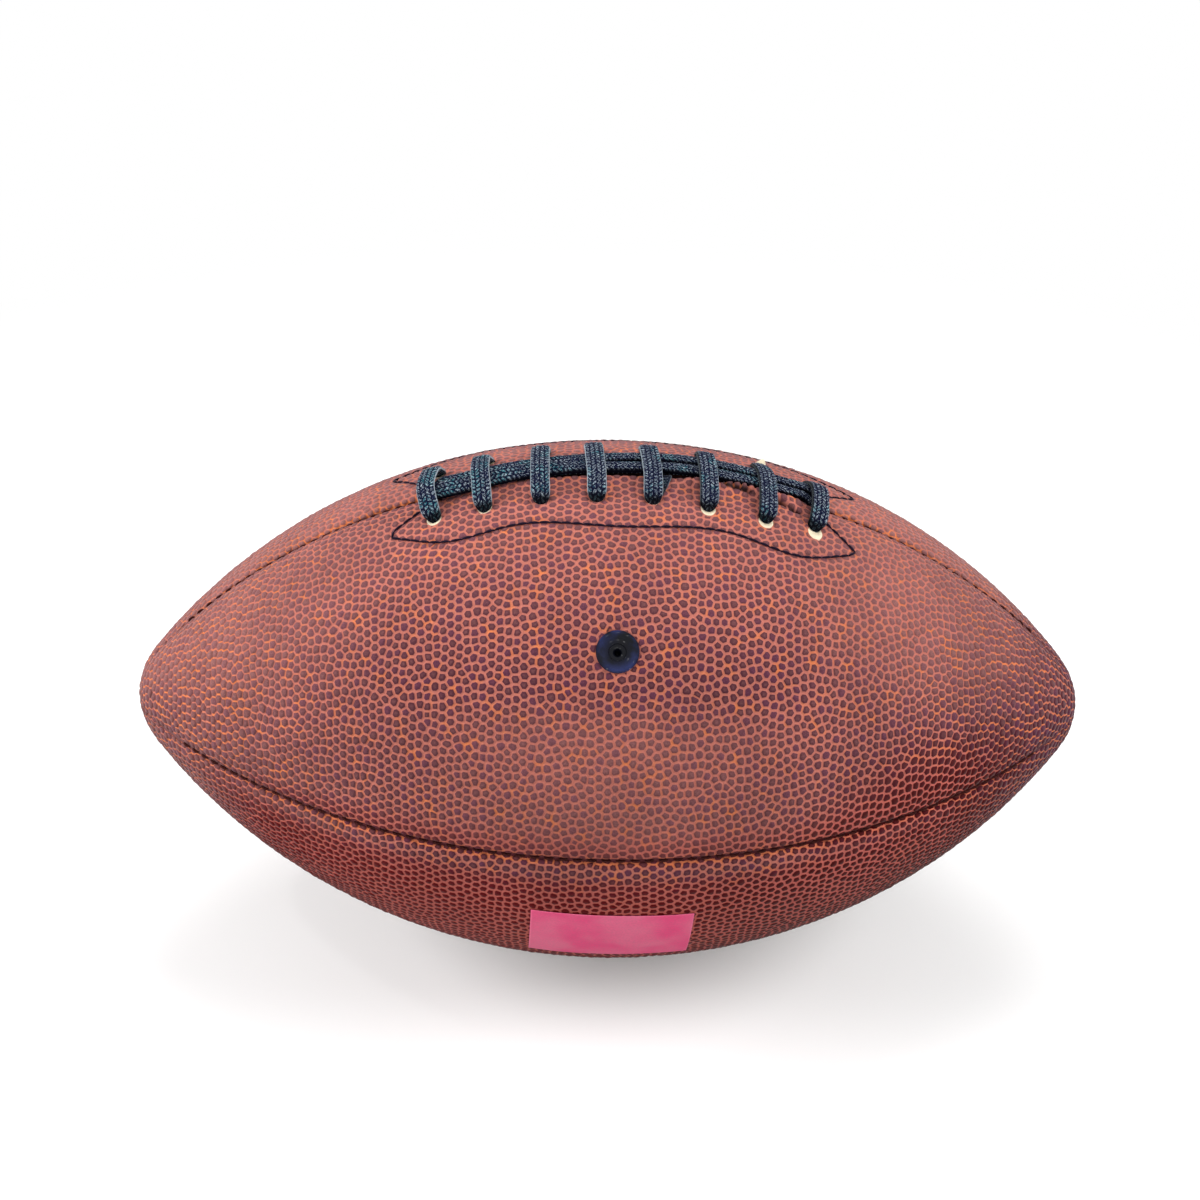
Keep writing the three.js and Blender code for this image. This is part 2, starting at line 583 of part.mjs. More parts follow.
// The valve stands on its own axis: heights are from the cover, outwards.
function lathe(profile) {
  return new THREE.LatheGeometry(profile.map((p) => new THREE.Vector2(...p)), VALVE_SIDES);
}
const CORE_BORE = CORE_DIAMETER / 2 + CLEARANCE;
function valveHousing() {
  const head = VALVE_DIAMETER / 2;
  const dish = DISH_DIAMETER / 2;
  const under = -(BLADDER_TOP + BLADDER_THICKNESS + VALVE_SEAT);
  const brim = VALVE_FLANGE / 2;
  const curve = (radius) => radius ** 2 / (2 * (BELLY_RADIUS + under)); // the bladder falls away from the valve
  const stem = VALVE_STEM_DIAMETER / 2;
  return lathe([
    [CORE_BORE, -VALVE_DEPTH],
    [stem, -VALVE_DEPTH],
    [stem, under - VALVE_FLANGE_THICKNESS - curve(stem)],
    [brim, under - VALVE_FLANGE_THICKNESS - curve(brim)],
    [brim, under - curve(brim)],
    [head, under - curve(head)],
    [head, 0],
    [(3 * head + dish) / 4, VALVE_RISE * 0.8],
    [(head + dish) / 2, VALVE_RISE],
    [dish, VALVE_RISE * 0.5],
    [CORE_BORE, -DISH_DEPTH],
    [CORE_BORE, -VALVE_DEPTH],
  ]);
}
function valveCore() {
  const [body, needle] = [CORE_DIAMETER / 2, NEEDLE_DIAMETER / 2];
  return lathe([
    [0, -VALVE_DEPTH],
    [body, -VALVE_DEPTH],
    [body, -DISH_DEPTH],
    [needle, -DISH_DEPTH - needle],
    [needle, -NEEDLE_DEPTH],
    [0, -NEEDLE_DEPTH],
  ]);
}

// The label is a thin curved sheet on the lower front panel.
const LABEL_CELLS = 6;
function label() {
  const rows = (above) =>
    Array.from({ length: LABEL_CELLS + 1 }, (_, i) => {
      const tilt = Math.asin((LABEL_LENGTH * (i / LABEL_CELLS - 0.5)) / BELLY_ARC);
      return Array.from({ length: LABEL_CELLS + 1 }, (_, k) => {
        const turn = LABEL_TURN + (LABEL_HEIGHT * (k / LABEL_CELLS - 0.5)) / BELLY_RADIUS;
        return ballPoint(tilt, turn, -above);
      });
    });
  return sheetGeometry(rows(CLEARANCE + LABEL_THICKNESS), rows(CLEARANCE));
}

// Finishes
function finish(color, roughness) {
  return new THREE.MeshStandardMaterial({ color, roughness, metalness: 0 });
}
const coverLeather = finish(0xa0605a, 0.62);
const clothLining = finish(0xe9dfc8, 0.9);
const facingVinyl = finish(0xd9c9a8, 0.7);
const seamCotton = finish(0x5a2a22, 0.8);
const stitchThread = finish(0x1d1c33, 0.6);
const laceCord = finish(0x2b3048, 0.7);
const tongueLeather = finish(0x6b3a30, 0.7);
const bladderRubber = finish(0x1b1b1d, 0.55);
const valveRubber = finish(0x1e2440, 0.35);
const labelPaper = finish(0xcc5a80, 0.8);

const football = new THREE.Group();
function add(parent, name, geometry, material) {
  const mesh = new THREE.Mesh(geometry, material);
  mesh.name = name;
  parent.add(mesh);
}

// Casing: cover panels and their linings
for (const panel of panels) {
  add(football, `cover_panel_${panel.place}`, cut(coverPanel(panel), punches(panel)), coverLeather);
  add(football, `lining_${panel.place}`, cut(liningPanel(panel), punches(panel)), clothLining);
}

// Seams. The threads stop where the folds start to shrink towards the tips.
const threadTilts = stations([-NOSE_START, NOSE_START], [STATION_STEP]);
for (const [place, turn] of [["front", QUARTER], ["back", -QUARTER], ["bottom", Math.PI]]) {
  add(football, `seam_thread_${place}`, seamThread(turn, threadTilts), seamCotton);
}
for (const [place, from, to] of [
  ["left", -NOSE_START, lacingTilt(-SLIT_CLOSED)],
  ["right", lacingTilt(SLIT_CLOSED), NOSE_START],
]) {
  add(football, `seam_thread_lace_${place}`, seamThread(0, stations([from, to], [STATION_STEP])), seamCotton);
}

// Lacing
for (const [place, side] of [["front", 1], ["back", -1]]) {
  add(football, `lace_facing_${place}`, facing(side), facingVinyl);
  add(football, `facing_stitch_${place}`, facingStitch(side), stitchThread);
}
add(football, "lace", lace(), laceCord);
add(football, "tongue", tongue(), tongueLeather);

// Bladder and valve
add(football, "bladder", bladder(), bladderRubber);
const valve = new THREE.Group();
valve.position.copy(ballPoint(0, VALVE_TURN, 0));
valve.rotation.x = VALVE_TURN + QUARTER;
add(valve, "valve_housing", valveHousing(), valveRubber);
add(valve, "valve_core", valveCore(), valveRubber);
football.add(valve);

add(football, "paper_label", label(), labelPaper);

export default football;
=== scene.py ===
"""An american football with pebbled leather panels, a braided lace, an air valve and a paper label."""

import math
from typing import NamedTuple

import bpy
import numpy as np
from bpy.props import FloatProperty, FloatVectorProperty, IntProperty, PointerProperty
from mathutils import Matrix, Vector, geometry


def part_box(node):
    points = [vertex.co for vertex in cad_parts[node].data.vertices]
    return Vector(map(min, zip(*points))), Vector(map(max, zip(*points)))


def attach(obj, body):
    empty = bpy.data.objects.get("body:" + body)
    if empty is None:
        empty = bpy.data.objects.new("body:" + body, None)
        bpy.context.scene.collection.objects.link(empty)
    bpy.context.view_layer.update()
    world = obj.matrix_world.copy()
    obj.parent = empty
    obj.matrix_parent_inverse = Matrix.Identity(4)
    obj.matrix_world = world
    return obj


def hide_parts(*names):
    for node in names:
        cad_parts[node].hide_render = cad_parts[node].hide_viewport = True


bl_info = {
    "name": "American football",
    "version": (1, 0, 0),
    "blender": (4, 5, 0),
    "location": "3D View > Sidebar > Football",
    "description": "Makes the visible pieces of an american football on its fixed frame",
    "category": "Object",
}

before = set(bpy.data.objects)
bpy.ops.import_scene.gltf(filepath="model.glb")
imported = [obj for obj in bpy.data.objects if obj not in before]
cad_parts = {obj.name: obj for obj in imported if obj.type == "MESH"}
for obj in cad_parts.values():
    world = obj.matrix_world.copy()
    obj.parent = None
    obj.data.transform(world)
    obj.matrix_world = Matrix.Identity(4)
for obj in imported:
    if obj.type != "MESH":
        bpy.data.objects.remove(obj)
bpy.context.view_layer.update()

MM = 0.001
QUARTER = math.pi / 2
BODY = "root"

# Sizes that the frame gives
low_corner, high_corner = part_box("cover_panel_upper_front")
FRAME_LENGTH = round(high_corner[0] - low_corner[0], 3)
FRAME_DIAMETER = round(2 * high_corner[2] - 2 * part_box("cover_panel_lower_front")[1][2], 3)

# Seams; here and below, a pair of lengths is where a change starts and where it is full
FOLD_RADIUS = 1.8 * MM
FOLD_AT_TIPS = 0.3 * MM
FOLD_TIP_SHARE = 0.22
FOLD_GROWS = (12 * MM, 58 * MM)
SEAM_GAP = 0.12 * MM
FLANGE = 1.3 * MM
EDGE_SPARE = 3.2 * MM
EDGE_TIP_SHARE = 0.8
IN_FOLD_SHARE = 0.75
BACKING_HALF = 3.5 * MM
BACKING_TIP_SHARE = 0.35
BACKING_SAG = 0.5 * MM
BACKING_COLUMNS = 7
BACKING_ROWS = 241
BACKING_END_RADIUS = 3 * MM
BACKING_UNDER_FOLD = 0.25 * MM
BACKING_DYE = 0.9
SLIT_BACKING_DEPTH = 0.9 * MM
SLIT_BACKING_ROWS = 121
TIP_REACH = 5.5 * MM
TIP_DEPTH = 0.35 * MM
TIP_PITCH_SHARE = 0.85
TIP_PINCH = 0.4 * MM
TIP_PINCH_HALF = 0.7 * MM
TIP_DROP = 1 * MM
TIP_DROP_FROM = 2.5 * MM
PILLOW_DEPTH = 0.7 * MM
PILLOW_REACH = 3.8 * MM
PILLOW_GROWS = (4 * MM, 25 * MM)

# Pebbles
ROW_STEP = 0.866
JITTER = 0.4
EVENING_ROUNDS = 4
LONGEST_EDGE = 2.4
CENTRE_LIMIT = 0.4
SIZE_SPREAD = 0.05
HEIGHT_SPREAD = 0.1
FOOT_INSET = 0.13
FOOT_HEIGHT = 0.07 * MM
SHOULDER_INSET_BELLY = 0.40
SHOULDER_INSET_TIP = 0.27
SHOULDER_INSET_CHANGES = (45 * MM, 115 * MM)
SHOULDER_ROUND = 0.4
SHOULDER_SHARE = 0.78
FOOT_DYE = 0.1
SHOULDER_DYE = 0.85
EVEN_TONE = 0.5
LENGTHWISE_EDGE = (0.5, 0.85)
PANEL_END_RADIUS = 0.8 * MM
FORM_STEPS = 8001
TIP_SEED = 7
LABEL_SEED = 11

# Lacing
LACE_HOLES = 8
HOLE_PITCH = 15.6 * MM
HOLE_HALF_ALONG = 2.2 * MM
HOLE_HALF_ACROSS = 2.7 * MM
HOLE_WALL = 2.4 * MM
HOLE_EDGE_DROP = 0.05 * MM
HOLE_EDGE_DYE = 0.3
HOLE_DENT = 0.4 * MM
HOLE_DENT_REACH = 0.35
PUCKERED_FROM = 2 * HOLE_PITCH
PUCKERS = 11
PUCKER_DEPTH = 0.16 * MM
PUCKER_AT = 0.5
PUCKER_REACH = 0.7
PUCKER_SIDE = 4 * MM
BARE_HOLE = 6
BARE_HOLE_SHIFT = 1.8 * MM
BARE_HOLE_CURL = 1.9 * MM
BARE_HOLE_CURL_TURN = 0.6
BARE_HOLE_CURL_SHARPNESS = 4
BARE_HOLE_CURL_SHARES = (0.3, 0.9)
LACING_OFFSET = 2 * MM
SLIT_HALF = 0.7 * MM
SLIT_PAST_HOLES = -1 * MM
SLIT_CLOSING = 5 * MM
# Painted shade in and beside the open slit: its soft edge, its reach behind and in front of the slit, and
# how the front reach narrows
SLIT_SHADE_EDGE = 1 * MM
SLIT_SHADE_BACK = 3.6 * MM
SLIT_SHADE_FRONT = 0.8 * MM
SLIT_SHADE_LOSS = 0.7 * MM
SLIT_SHADE_NARROWS = (8 * MM, 26 * MM)
LAST_HOLE = (LACE_HOLES - 1) * HOLE_PITCH / 2
SLIT_CLOSED = LAST_HOLE + SLIT_PAST_HOLES + SLIT_CLOSING
LACE_INSIDE = 6 * MM
LACE_TAIL = 14 * MM
LACING_REACH_ALONG = 75 * MM
LACING_REACH_ACROSS = 45 * MM
BACK_FALL = 1.2 * MM
BACK_FALL_HALF = 60 * MM
BACK_FALL_STARTS = (14 * MM, 34 * MM)
BACK_FALL_ENDS = 45 * MM

# Stitched outline beside the lacing, as (along, distance from the seam)
OUTLINE_HALF = (
    (0.0, 23.6 * MM),
    (27.3 * MM, 20.7 * MM),
    (49.4 * MM, 22.7 * MM),
    (67.3 * MM, 14.5 * MM),
)
OUTLINE_END = (54.6 * MM, 5.0 * MM)
OUTLINE_PARTS = 24
OUTLINE_END_PARTS = 12
OUTLINE_STEP = 0.5 * MM
OUTLINE_ROUNDING = 5
OUTLINE_SHIFTS = (5 * MM, 14 * MM)
OUTLINE_DRIFT = 2.2 * MM
OUTLINE_DRIFT_FULL = 55 * MM
OUTLINE_BACK = 5.0 * MM
OUTLINE_BACK_DRIFT = 4.5 * MM
OUTLINE_BACK_DRIFT_FULL = 60 * MM
OUTLINE_BACK_MIDDLE = 9.0 * MM
OUTLINE_BACK_MIDDLE_GROWS = (60 * MM, 34 * MM)
OUTLINE_BACK_LEFT = 1.5 * MM
OUTLINE_BACK_RIGHT = 2.8 * MM
OUTLINE_BACK_ENDS = (45 * MM, 67 * MM)
OUTLINE_GROOVE = 0.45 * MM
OUTLINE_GROOVE_HALF = 0.75 * MM

# Plain colours of the inner layers
LINING_COLOUR = (0.81, 0.74, 0.58)
TONGUE_COLOUR = (0.147, 0.042, 0.03)
BLADDER_COLOUR = (0.012, 0.012, 0.013)
# Near-black colour of the strip under the slit, which is painted shade
SLIT_SHADE_COLOUR = (0.012, 0.008, 0.01)

# Valve and label
VALVE_TURN = math.radians(45)
VALVE_OVERLAP = 0.2 * MM
VALVE_RAGGED = 0.03
# Ragged edge of the leather, as (waves round it, share, start)
RAGGED_WAVES = ((9, 1, 0), (16, 0.7, 2))
VALVE_DENT = 0.45 * MM
VALVE_DENT_REACH = 1.3 * MM
LABEL_TURN = math.radians(116)
LABEL_SKEW = math.radians(1.5)


def length_property(name, description, default):
    """A length property."""
    return FloatProperty(name=name, description=description, default=default, unit="LENGTH")


class FootballSizes(bpy.types.PropertyGroup):
    """Sizes of the football's pieces."""

    ball_length: length_property("Ball length", "From tip to tip", FRAME_LENGTH)
    ball_diameter: length_property("Ball diameter", "Across the belly", FRAME_DIAMETER)
    nose_radius: length_property("Nose radius", "Rounding of each tip", 22 * MM)
    pebble_pitch: length_property("Pebble pitch", "From one pebble to the next", 2.65 * MM)
    pebble_height: length_property("Pebble height", "Above the ground between", 0.42 * MM)
    lace_width: length_property("Lace width", "Across the flat lace", 5.5 * MM)
    lace_thickness: length_property("Lace thickness", "Through the flat lace", 1.8 * MM)
    plait_pitch: length_property("Plait pitch", "From one plait to the next", 1.35 * MM)
    stitch_length: length_property("Stitch length", "One stitch of the outline", 3.1 * MM)
    stitch_diameter: length_property("Stitch thread", "Across the outline's thread", 0.74 * MM)
    seam_stitch_length: length_property("Seam stitch length", "One stitch in a seam", 4 * MM)
    seam_thread_diameter: length_property("Seam thread", "Across the seam thread", 0.8 * MM)
    valve_diameter: length_property("Valve diameter", "Across the valve's rim", 12 * MM)
    label_length: length_property("Label length", "Along the ball", 46.5 * MM)
    label_height: length_property("Label height", "Round the ball", 29 * MM)
    pebble_seed: IntProperty(name="Pebble seed", description="Start of the pebbles' scatter", default=7)


def colour_property(name, description, red, green, blue):
    """A colour property from sRGB shares of 255."""
    return FloatVectorProperty(
        name=name,
        description=description,
        subtype="COLOR",
        size=3,
        min=0,
        max=1,
        default=tuple(linear(part) for part in (red, green, blue)),
    )


def linear(part):
    """One sRGB part of 255 as linear light."""
    share = part / 255
    if share <= 0.04045:
        return share / 12.92
    return ((share + 0.055) / 1.055) ** 2.4


class FootballColours(bpy.types.PropertyGroup):
    """Colours of the football's finishes."""

    leather_ground: colour_property("Leather ground", "Leather between the pebbles", 186, 112, 99)
    leather_rub: colour_property("Leather rub", "Thin dye in folds and streaks", 212, 122, 78)
    # The two colours below mix across each pebble, and its lighter middle is a painted highlight
    pebble_top: colour_property("Pebble top", "Dyed top of a pebble", 105, 65, 67)
    pebble_deep: colour_property("Pebble deep", "Flanks of the pebbles", 69, 33, 45)
    # The colour below is painted sheen: pebbles paled where the light grazes them
    pebble_worn: colour_property("Pebble worn", "Rubbed pebbles by the lacing and the tips", 148, 99, 95)
    pebble_violet: colour_property("Pebble violet", "Pebbles that took more blue dye", 92, 50, 70)
    # The two colours below are painted shade: darker, redder pebbles and ground on the lower panels
    pebble_full: colour_property("Pebble full", "Pebbles of the lower panels", 84, 2, 6)
    ground_full: colour_property("Ground full", "Leather between the lower panels' pebbles", 188, 98, 90)
    lace_dark: colour_property("Lace dark", "Ground of the braid", 11, 14, 37)
    lace_light: colour_property("Lace light", "Raised yarns of the braid", 28, 36, 64)
    lace_fleck: colour_property("Lace fleck", "Pale flecks in the braid", 204, 220, 230)
    lace_teal: colour_property("Lace teal", "Green flecks in the braid", 32, 108, 118)
    outline_thread: colour_property("Outline thread", "Stitches beside the lacing", 24, 15, 34)
    seam_thread: colour_property("Seam thread", "Stitches in the seams", 62, 26, 24)
    hole_edge: colour_property("Hole edge", "Facing that shows in the lace holes", 240, 226, 196)
    valve: colour_property("Valve", "Rubber of the valve's rim", 30, 38, 80)
    valve_deep: colour_property("Valve deep", "Rubber in the valve's bowl", 5, 6, 14)
    label: colour_property("Label", "Paper of the label", 243, 74, 131)


# The ball's form


class Ball:
    """The ball's outline, a belly arc that runs into a nose arc at each tip."""

    def __init__(self, sizes):
        self.radius = sizes.ball_diameter / 2
        self.nose = sizes.nose_radius
        self.nose_centre = sizes.ball_length / 2 - self.nose
        spread = self.nose_centre**2 + self.radius**2 - self.nose**2
        self.belly = spread / (2 * (self.radius - self.nose))
        self.nose_start = math.atan2(self.nose_centre, self.belly - self.radius)
        last_tilt = math.acos(PANEL_END_RADIUS / self.nose)
        self.tilts = np.linspace(-last_tilt, last_tilt, FORM_STEPS)
        arc = np.where(np.abs(self.tilts) > self.nose_start, self.nose, self.belly)
        rate = arc / self.section(self.tilts, 0)[1]
        steps = (rate[1:] + rate[:-1]) / 2 * np.diff(self.tilts)
        stretches = np.concatenate([[0], np.cumsum(steps)])
        self.stretches = stretches - stretches[-1] / 2
        self.last_stretch = self.stretches[-1]

    def section(self, tilt, depth):
        """Place along the ball and distance from its axis, at a tilt of the surface and a depth under it."""
        steep = np.abs(tilt)
        in_belly = steep < self.nose_start
        along = np.where(
            in_belly,
            (self.belly - depth) * np.sin(steep),
            self.nose_centre + (self.nose - depth) * np.sin(steep),
        )
        out = np.where(
            in_belly,
            (self.belly - depth) * np.cos(steep) - (self.belly - self.radius),
            (self.nose - depth) * np.cos(steep),
        )
        return np.sign(tilt) * along, out

    def place(self, tilt, turn, depth):
        """A point, with turn round the long axis from the lace seam towards the front."""
        along, out = self.section(tilt, depth)
        along, across, up = np.broadcast_arrays(along, -out * np.sin(turn), self.radius + out * np.cos(turn))
        return np.stack([along, across, up], axis=-1)

    def tilt_at(self, stretch):
        """Tilt at a stretch, the even-scaled length along the surface."""
        return np.interp(stretch, self.stretches, self.tilts)

    def stretch_at(self, tilt):
        """Stretch at a tilt."""
        return np.interp(tilt, self.tilts, self.stretches)

    def out_at(self, stretch):
        """Distance from the axis at a stretch."""
        return self.section(self.tilt_at(stretch), 0)[1]

    def lacing_tilt(self, along):
        """Tilt at a place along the lacing."""
        return np.arcsin((np.asarray(along) + LACING_OFFSET) / self.belly)

    def lacing_place(self, along, in_front, above):
        """A point beside the lacing: along it, in front of its seam and above the surface."""
        tilt = self.lacing_tilt(along)
        turn = in_front / self.section(tilt, 0)[1]
        return self.place(tilt, turn, -np.asarray(above))


class Cross(NamedTuple):
    """A cross of the lace: crest, rear shoulder, ends at its two holes, and how it shifts and bends."""

    crest_at: float
    crest: float
    shoulder_at: float
    shoulder: float
    front_end: float
    shows: float
    back_hole: float
    slip: float
    slant: float
    bow: float


def cross(*lengths):
    """A cross from lengths in millimetres."""
    return Cross(*(length * MM for length in lengths))


CROSSES = (
    cross(1.0, 5.1, -6.0, 4.4, 13.6, 1.2, 12.5, 0.9, 0.0, -1.2),
    cross(-0.5, 5.0, -8.0, 3.9, 13.8, 0.5, 14.5, -0.4, -0.6, -0.3),
    cross(-1.5, 4.4, -9.0, 4.0, 13.8, -0.1, 15.5, 0.0, 0.0, 0.0),
    cross(-1.5, 3.9, -10.0, 3.7, 14.1, -0.1, 15.5, 0.1, -0.7, 0.0),
    cross(-2.0, 3.9, -8.5, 3.9, 14.5, 0.0, 15.5, 0.2, -0.9, 0.0),
    cross(-2.5, 3.9, -8.2, 3.7, 14.8, 1.7, 15.5, 0.3, -0.5, 0.0),
    cross(-2.0, 3.7, -7.0, 3.1, 15.2, 2.0, 16.2, 1.2, -0.4, 0.3),
    cross(-1.5, 4.0, -4.8, 3.5, 13.1, 3.2, 11.5, 0.0, 0.3, 0.8),
)


def hole_places():
    """Places of the lace holes along the lacing."""
    even = np.arange(LACE_HOLES) * HOLE_PITCH - LAST_HOLE
    return even + np.array([made.slip for made in CROSSES])


def hole_distance(number, side):
    """Distance of a lace hole from the seam, on the front side (1) or the back (-1)."""
    made = CROSSES[number]
    if side > 0:
        return made.front_end + made.shows - HOLE_HALF_ACROSS
    if number == BARE_HOLE:
        return made.back_hole + BARE_HOLE_SHIFT
    return made.back_hole


def smooth_step(low, high, value):
    """A smooth rise from 0 at low to 1 at high."""
    share = np.clip((value - low) / (high - low), 0, 1)
    return share * share * (3 - 2 * share)


def smooth_path(stops, parts):
    """A smooth curve through the stops, with a number of parts between each two."""
    stops = np.asarray(stops)
    before = np.concatenate([[2 * stops[0] - stops[1]], stops[:-1]])
    after = np.concatenate([stops[1:], [2 * stops[-1] - stops[-2]]])
    after_next = np.concatenate([after[1:], [2 * after[-1] - after[-2]]])
    share = (np.arange(parts) / parts)[None, :, None]
    first, second, third, fourth = (group[:-1, None, :] for group in (before, stops, after, after_next))
    curve = 0.5 * (
        2 * second
        + (third - first) * share
        + (2 * first - 5 * second + 4 * third - fourth) * share**2
        + (3 * second - first - 3 * third + fourth) * share**3
    )
    return np.concatenate([curve.reshape(-1, stops.shape[1]), stops[-1:]])


def round_corners(path, reach):
    """The path with its corners rounded over a number of points to each side."""
    padded = np.pad(path, ((reach, reach), (0, 0)), mode="edge")
    share = np.full(2 * reach + 1, 1 / (2 * reach + 1))
    return np.stack([np.convolve(column, share, "valid") for column in padded.T], axis=1)


def even_path(points, step):
    """The same path with points about a step apart."""
    lengths = np.linalg.norm(np.diff(points, axis=0), axis=1)
    run = np.concatenate([[0], np.cumsum(lengths)])
    count = max(2, round(run[-1] / step) + 1)
    places = np.linspace(0, run[-1], count)
    return np.stack([np.interp(places, run, column) for column in points.T], axis=1)


# Meshes


def add_object(name, data):
    """A new object in the scene."""
    made = bpy.data.objects.new(name, data)
    bpy.context.scene.collection.objects.link(made)
    return made


def add_piece(name, points, faces, material, attributes=None):
    """A mesh piece that rides on the ball, with smooth faces of three or four corners."""
    mesh = bpy.data.meshes.new(name)
    points = np.asarray(points, dtype=np.float32)
    faces = [np.asarray(group, dtype=np.int32) for group in faces if len(group)]
    corners = np.concatenate([group.ravel() for group in faces])
    sides = np.concatenate([np.full(len(group), group.shape[1], dtype=np.int32) for group in faces])
    starts = np.concatenate([[0], np.cumsum(sides)[:-1]]).astype(np.int32)
    mesh.vertices.add(len(points))
    mesh.vertices.foreach_set("co", points.ravel())
    mesh.loops.add(len(corners))
    mesh.loops.foreach_set("vertex_index", corners)
    mesh.polygons.add(len(sides))
    mesh.polygons.foreach_set("loop_start", starts)
    mesh.polygons.foreach_set("use_smooth", np.ones(len(sides), dtype=bool))
    for label, values in (attributes or {}).items():
        domain = "POINT" if len(values) == len(points) else "FACE"
        layer = mesh.attributes.new(label, "FLOAT", domain)
        layer.data.foreach_set("value", np.asarray(values, dtype=np.float32))
    mesh.update(calc_edges=True)
    mesh.validate()
    piece = add_object(name, mesh)
    mesh.materials.append(material)
    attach(piece, BODY)
    return piece


def ring_faces(rings, sides, first=0, closed_ends=True):
    """Faces of a tube of rings, with its ends closed by fans of three corners."""
    ring = np.arange(rings - 1)[:, None] * sides + first
    side = np.arange(sides)[None, :]
    following = (side + 1) % sides
    walls = np.stack([ring + side, ring + following, ring + sides + following, ring + sides + side], axis=-1)
    walls = walls.reshape(-1, 4)
    if not closed_ends:
        return walls, np.empty((0, 3), dtype=int)
    fan = np.arange(1, sides - 1)
    zero = np.zeros(sides - 2, dtype=int)
    start = np.stack([zero, fan + 1, fan], axis=1) + first
    end = np.stack([zero, fan, fan + 1], axis=1) + first + (rings - 1) * sides
    return walls, np.concatenate([start, end])


def grid_faces(rows, columns):
    """Faces of four corners over a grid of points."""
    corner = np.arange(rows - 1)[:, None] * columns + np.arange(columns - 1)[None, :]
    faces = np.stack([corner, corner + columns, corner + columns + 1, corner + 1], axis=-1)
    return faces.reshape(-1, 4)


def angles_round(sides):
    """Even angles round a circle."""
    return np.arange(sides) / sides * 2 * math.pi


def unit(vectors):
    """The vectors with a length of 1."""
    return vectors / np.linalg.norm(vectors, axis=1, keepdims=True)


# Panels of the cover


class Panel(NamedTuple):
    """A quarter of the cover, from its first seam round to its second."""

    place: str
    start: float
    way: int
    laced: bool


PANELS = (
    Panel("upper_front", 0, 1, True),
    Panel("upper_back", 0, -1, True),
    Panel("lower_front", QUARTER, 1, False),
    Panel("lower_back", -QUARTER, -1, False),
)


def slit_half(ball, panel, tilt):
    """Half the gap at a panel's first seam, which opens under the lacing."""
    closed = np.full_like(tilt, SEAM_GAP)
    if not panel.laced:
        return closed
    along = np.abs(ball.belly * np.sin(tilt) - LACING_OFFSET)
    open_end = LAST_HOLE + SLIT_PAST_HOLES
    opening = 1 - smooth_step(open_end, open_end + SLIT_CLOSING, along)
    opening = np.where(np.abs(tilt) < ball.nose_start, opening, 0)
    return closed + (SLIT_HALF - SEAM_GAP) * opening


def fold_radius(out):
    """Radius of a seam's fold, smaller towards the tips."""
    full = FOLD_AT_TIPS + (FOLD_RADIUS - FOLD_AT_TIPS) * smooth_step(*FOLD_GROWS, out)
    return np.minimum(full, FOLD_TIP_SHARE * out)


# Front lip of the slit, with its creases from one (along, distance from the seam) to another
LIP_SWELL = 0.8 * MM
LIP_RISE = 1.2 * MM
LIP_RISES = (13 * MM, 22 * MM)
LIP_STARTS = (-48 * MM, -30 * MM)
LIP_ENDS = (57 * MM, 47 * MM)
LIP_CREST = 2.2 * MM
LIP_HALF = 2.2 * MM
LIP_CREASES = (
    ((26.5 * MM, 1.6 * MM), (38 * MM, 4.0 * MM)),
    ((41.5 * MM, 3.8 * MM), (52 * MM, 7.2 * MM)),
)
CREASE_STARTS = (-1 * MM, 2 * MM)
CREASE_ENDS = (1 * MM, -3 * MM)
# Painted shade in the creases of the front lip
CREASE_SHADE = 0.9
CREASE_DEPTH = 1.1 * MM
CREASE_HALF = 0.75 * MM
CREASE_LIP = 0.5 * MM
CREASE_LIP_SHIFT = 1.4 * MM
CREASE_LIP_HALF = 0.9 * MM
CREASE_WAVE = 0.2 * MM
CREASE_WAVE_LENGTH = 1.5 * MM


def crease_share(panel, along, across, shift=0.0, half=CREASE_HALF):
    """How near a point is to the creases that the last crosses pull into the front lip."""
    share = np.zeros(len(along))
    if panel.way < 0 or not panel.laced:
        return share
    for (start, low), (end, high) in LIP_CREASES:
        limits = smooth_step(*CREASE_STARTS, along - start) * smooth_step(*CREASE_ENDS, along - end)
        line = low + (high - low) * (along - start) / (end - start)
        line = line + CREASE_WAVE * np.sin(along / CREASE_WAVE_LENGTH)
        share = np.maximum(share, limits * bell(across - line + shift, half))
    return share


def slit_share(ball, panel, places):
    """Painted shade of a panel's points in the open slit of the lacing and in the creases of its front lip.
    """
    tilt = ball.tilt_at(places[:, 0])
    opening = (slit_half(ball, panel, tilt) - SEAM_GAP) / (SLIT_HALF - SEAM_GAP)
    across = places[:, 1] * ball.out_at(places[:, 0])
    along = ball.belly * np.sin(tilt) - LACING_OFFSET
    reach = SLIT_SHADE_BACK
    if panel.way > 0:
        reach = SLIT_SHADE_FRONT - SLIT_SHADE_LOSS * smooth_step(*SLIT_SHADE_NARROWS, along)
    share = opening * smooth_step(0, SLIT_SHADE_EDGE, SLIT_HALF + reach - across)
    return np.maximum(share, CREASE_SHADE * crease_share(panel, along, across))


def panel_turns(ball, panel, stretch):
    """First and last turn of a panel's leather at a stretch, with its turned-in edges laid out flat."""
    tilt = np.atleast_1d(ball.tilt_at(stretch))
    out = ball.section(tilt, 0)[1]
    fold = fold_radius(out)
    tucked = QUARTER * fold + np.minimum(FLANGE, fold) + np.minimum(EDGE_SPARE, EDGE_TIP_SHARE * out)
    first = (slit_half(ball, panel, tilt) + fold - tucked) / out
    last = QUARTER - (SEAM_GAP + fold - tucked) / out
    return first, last


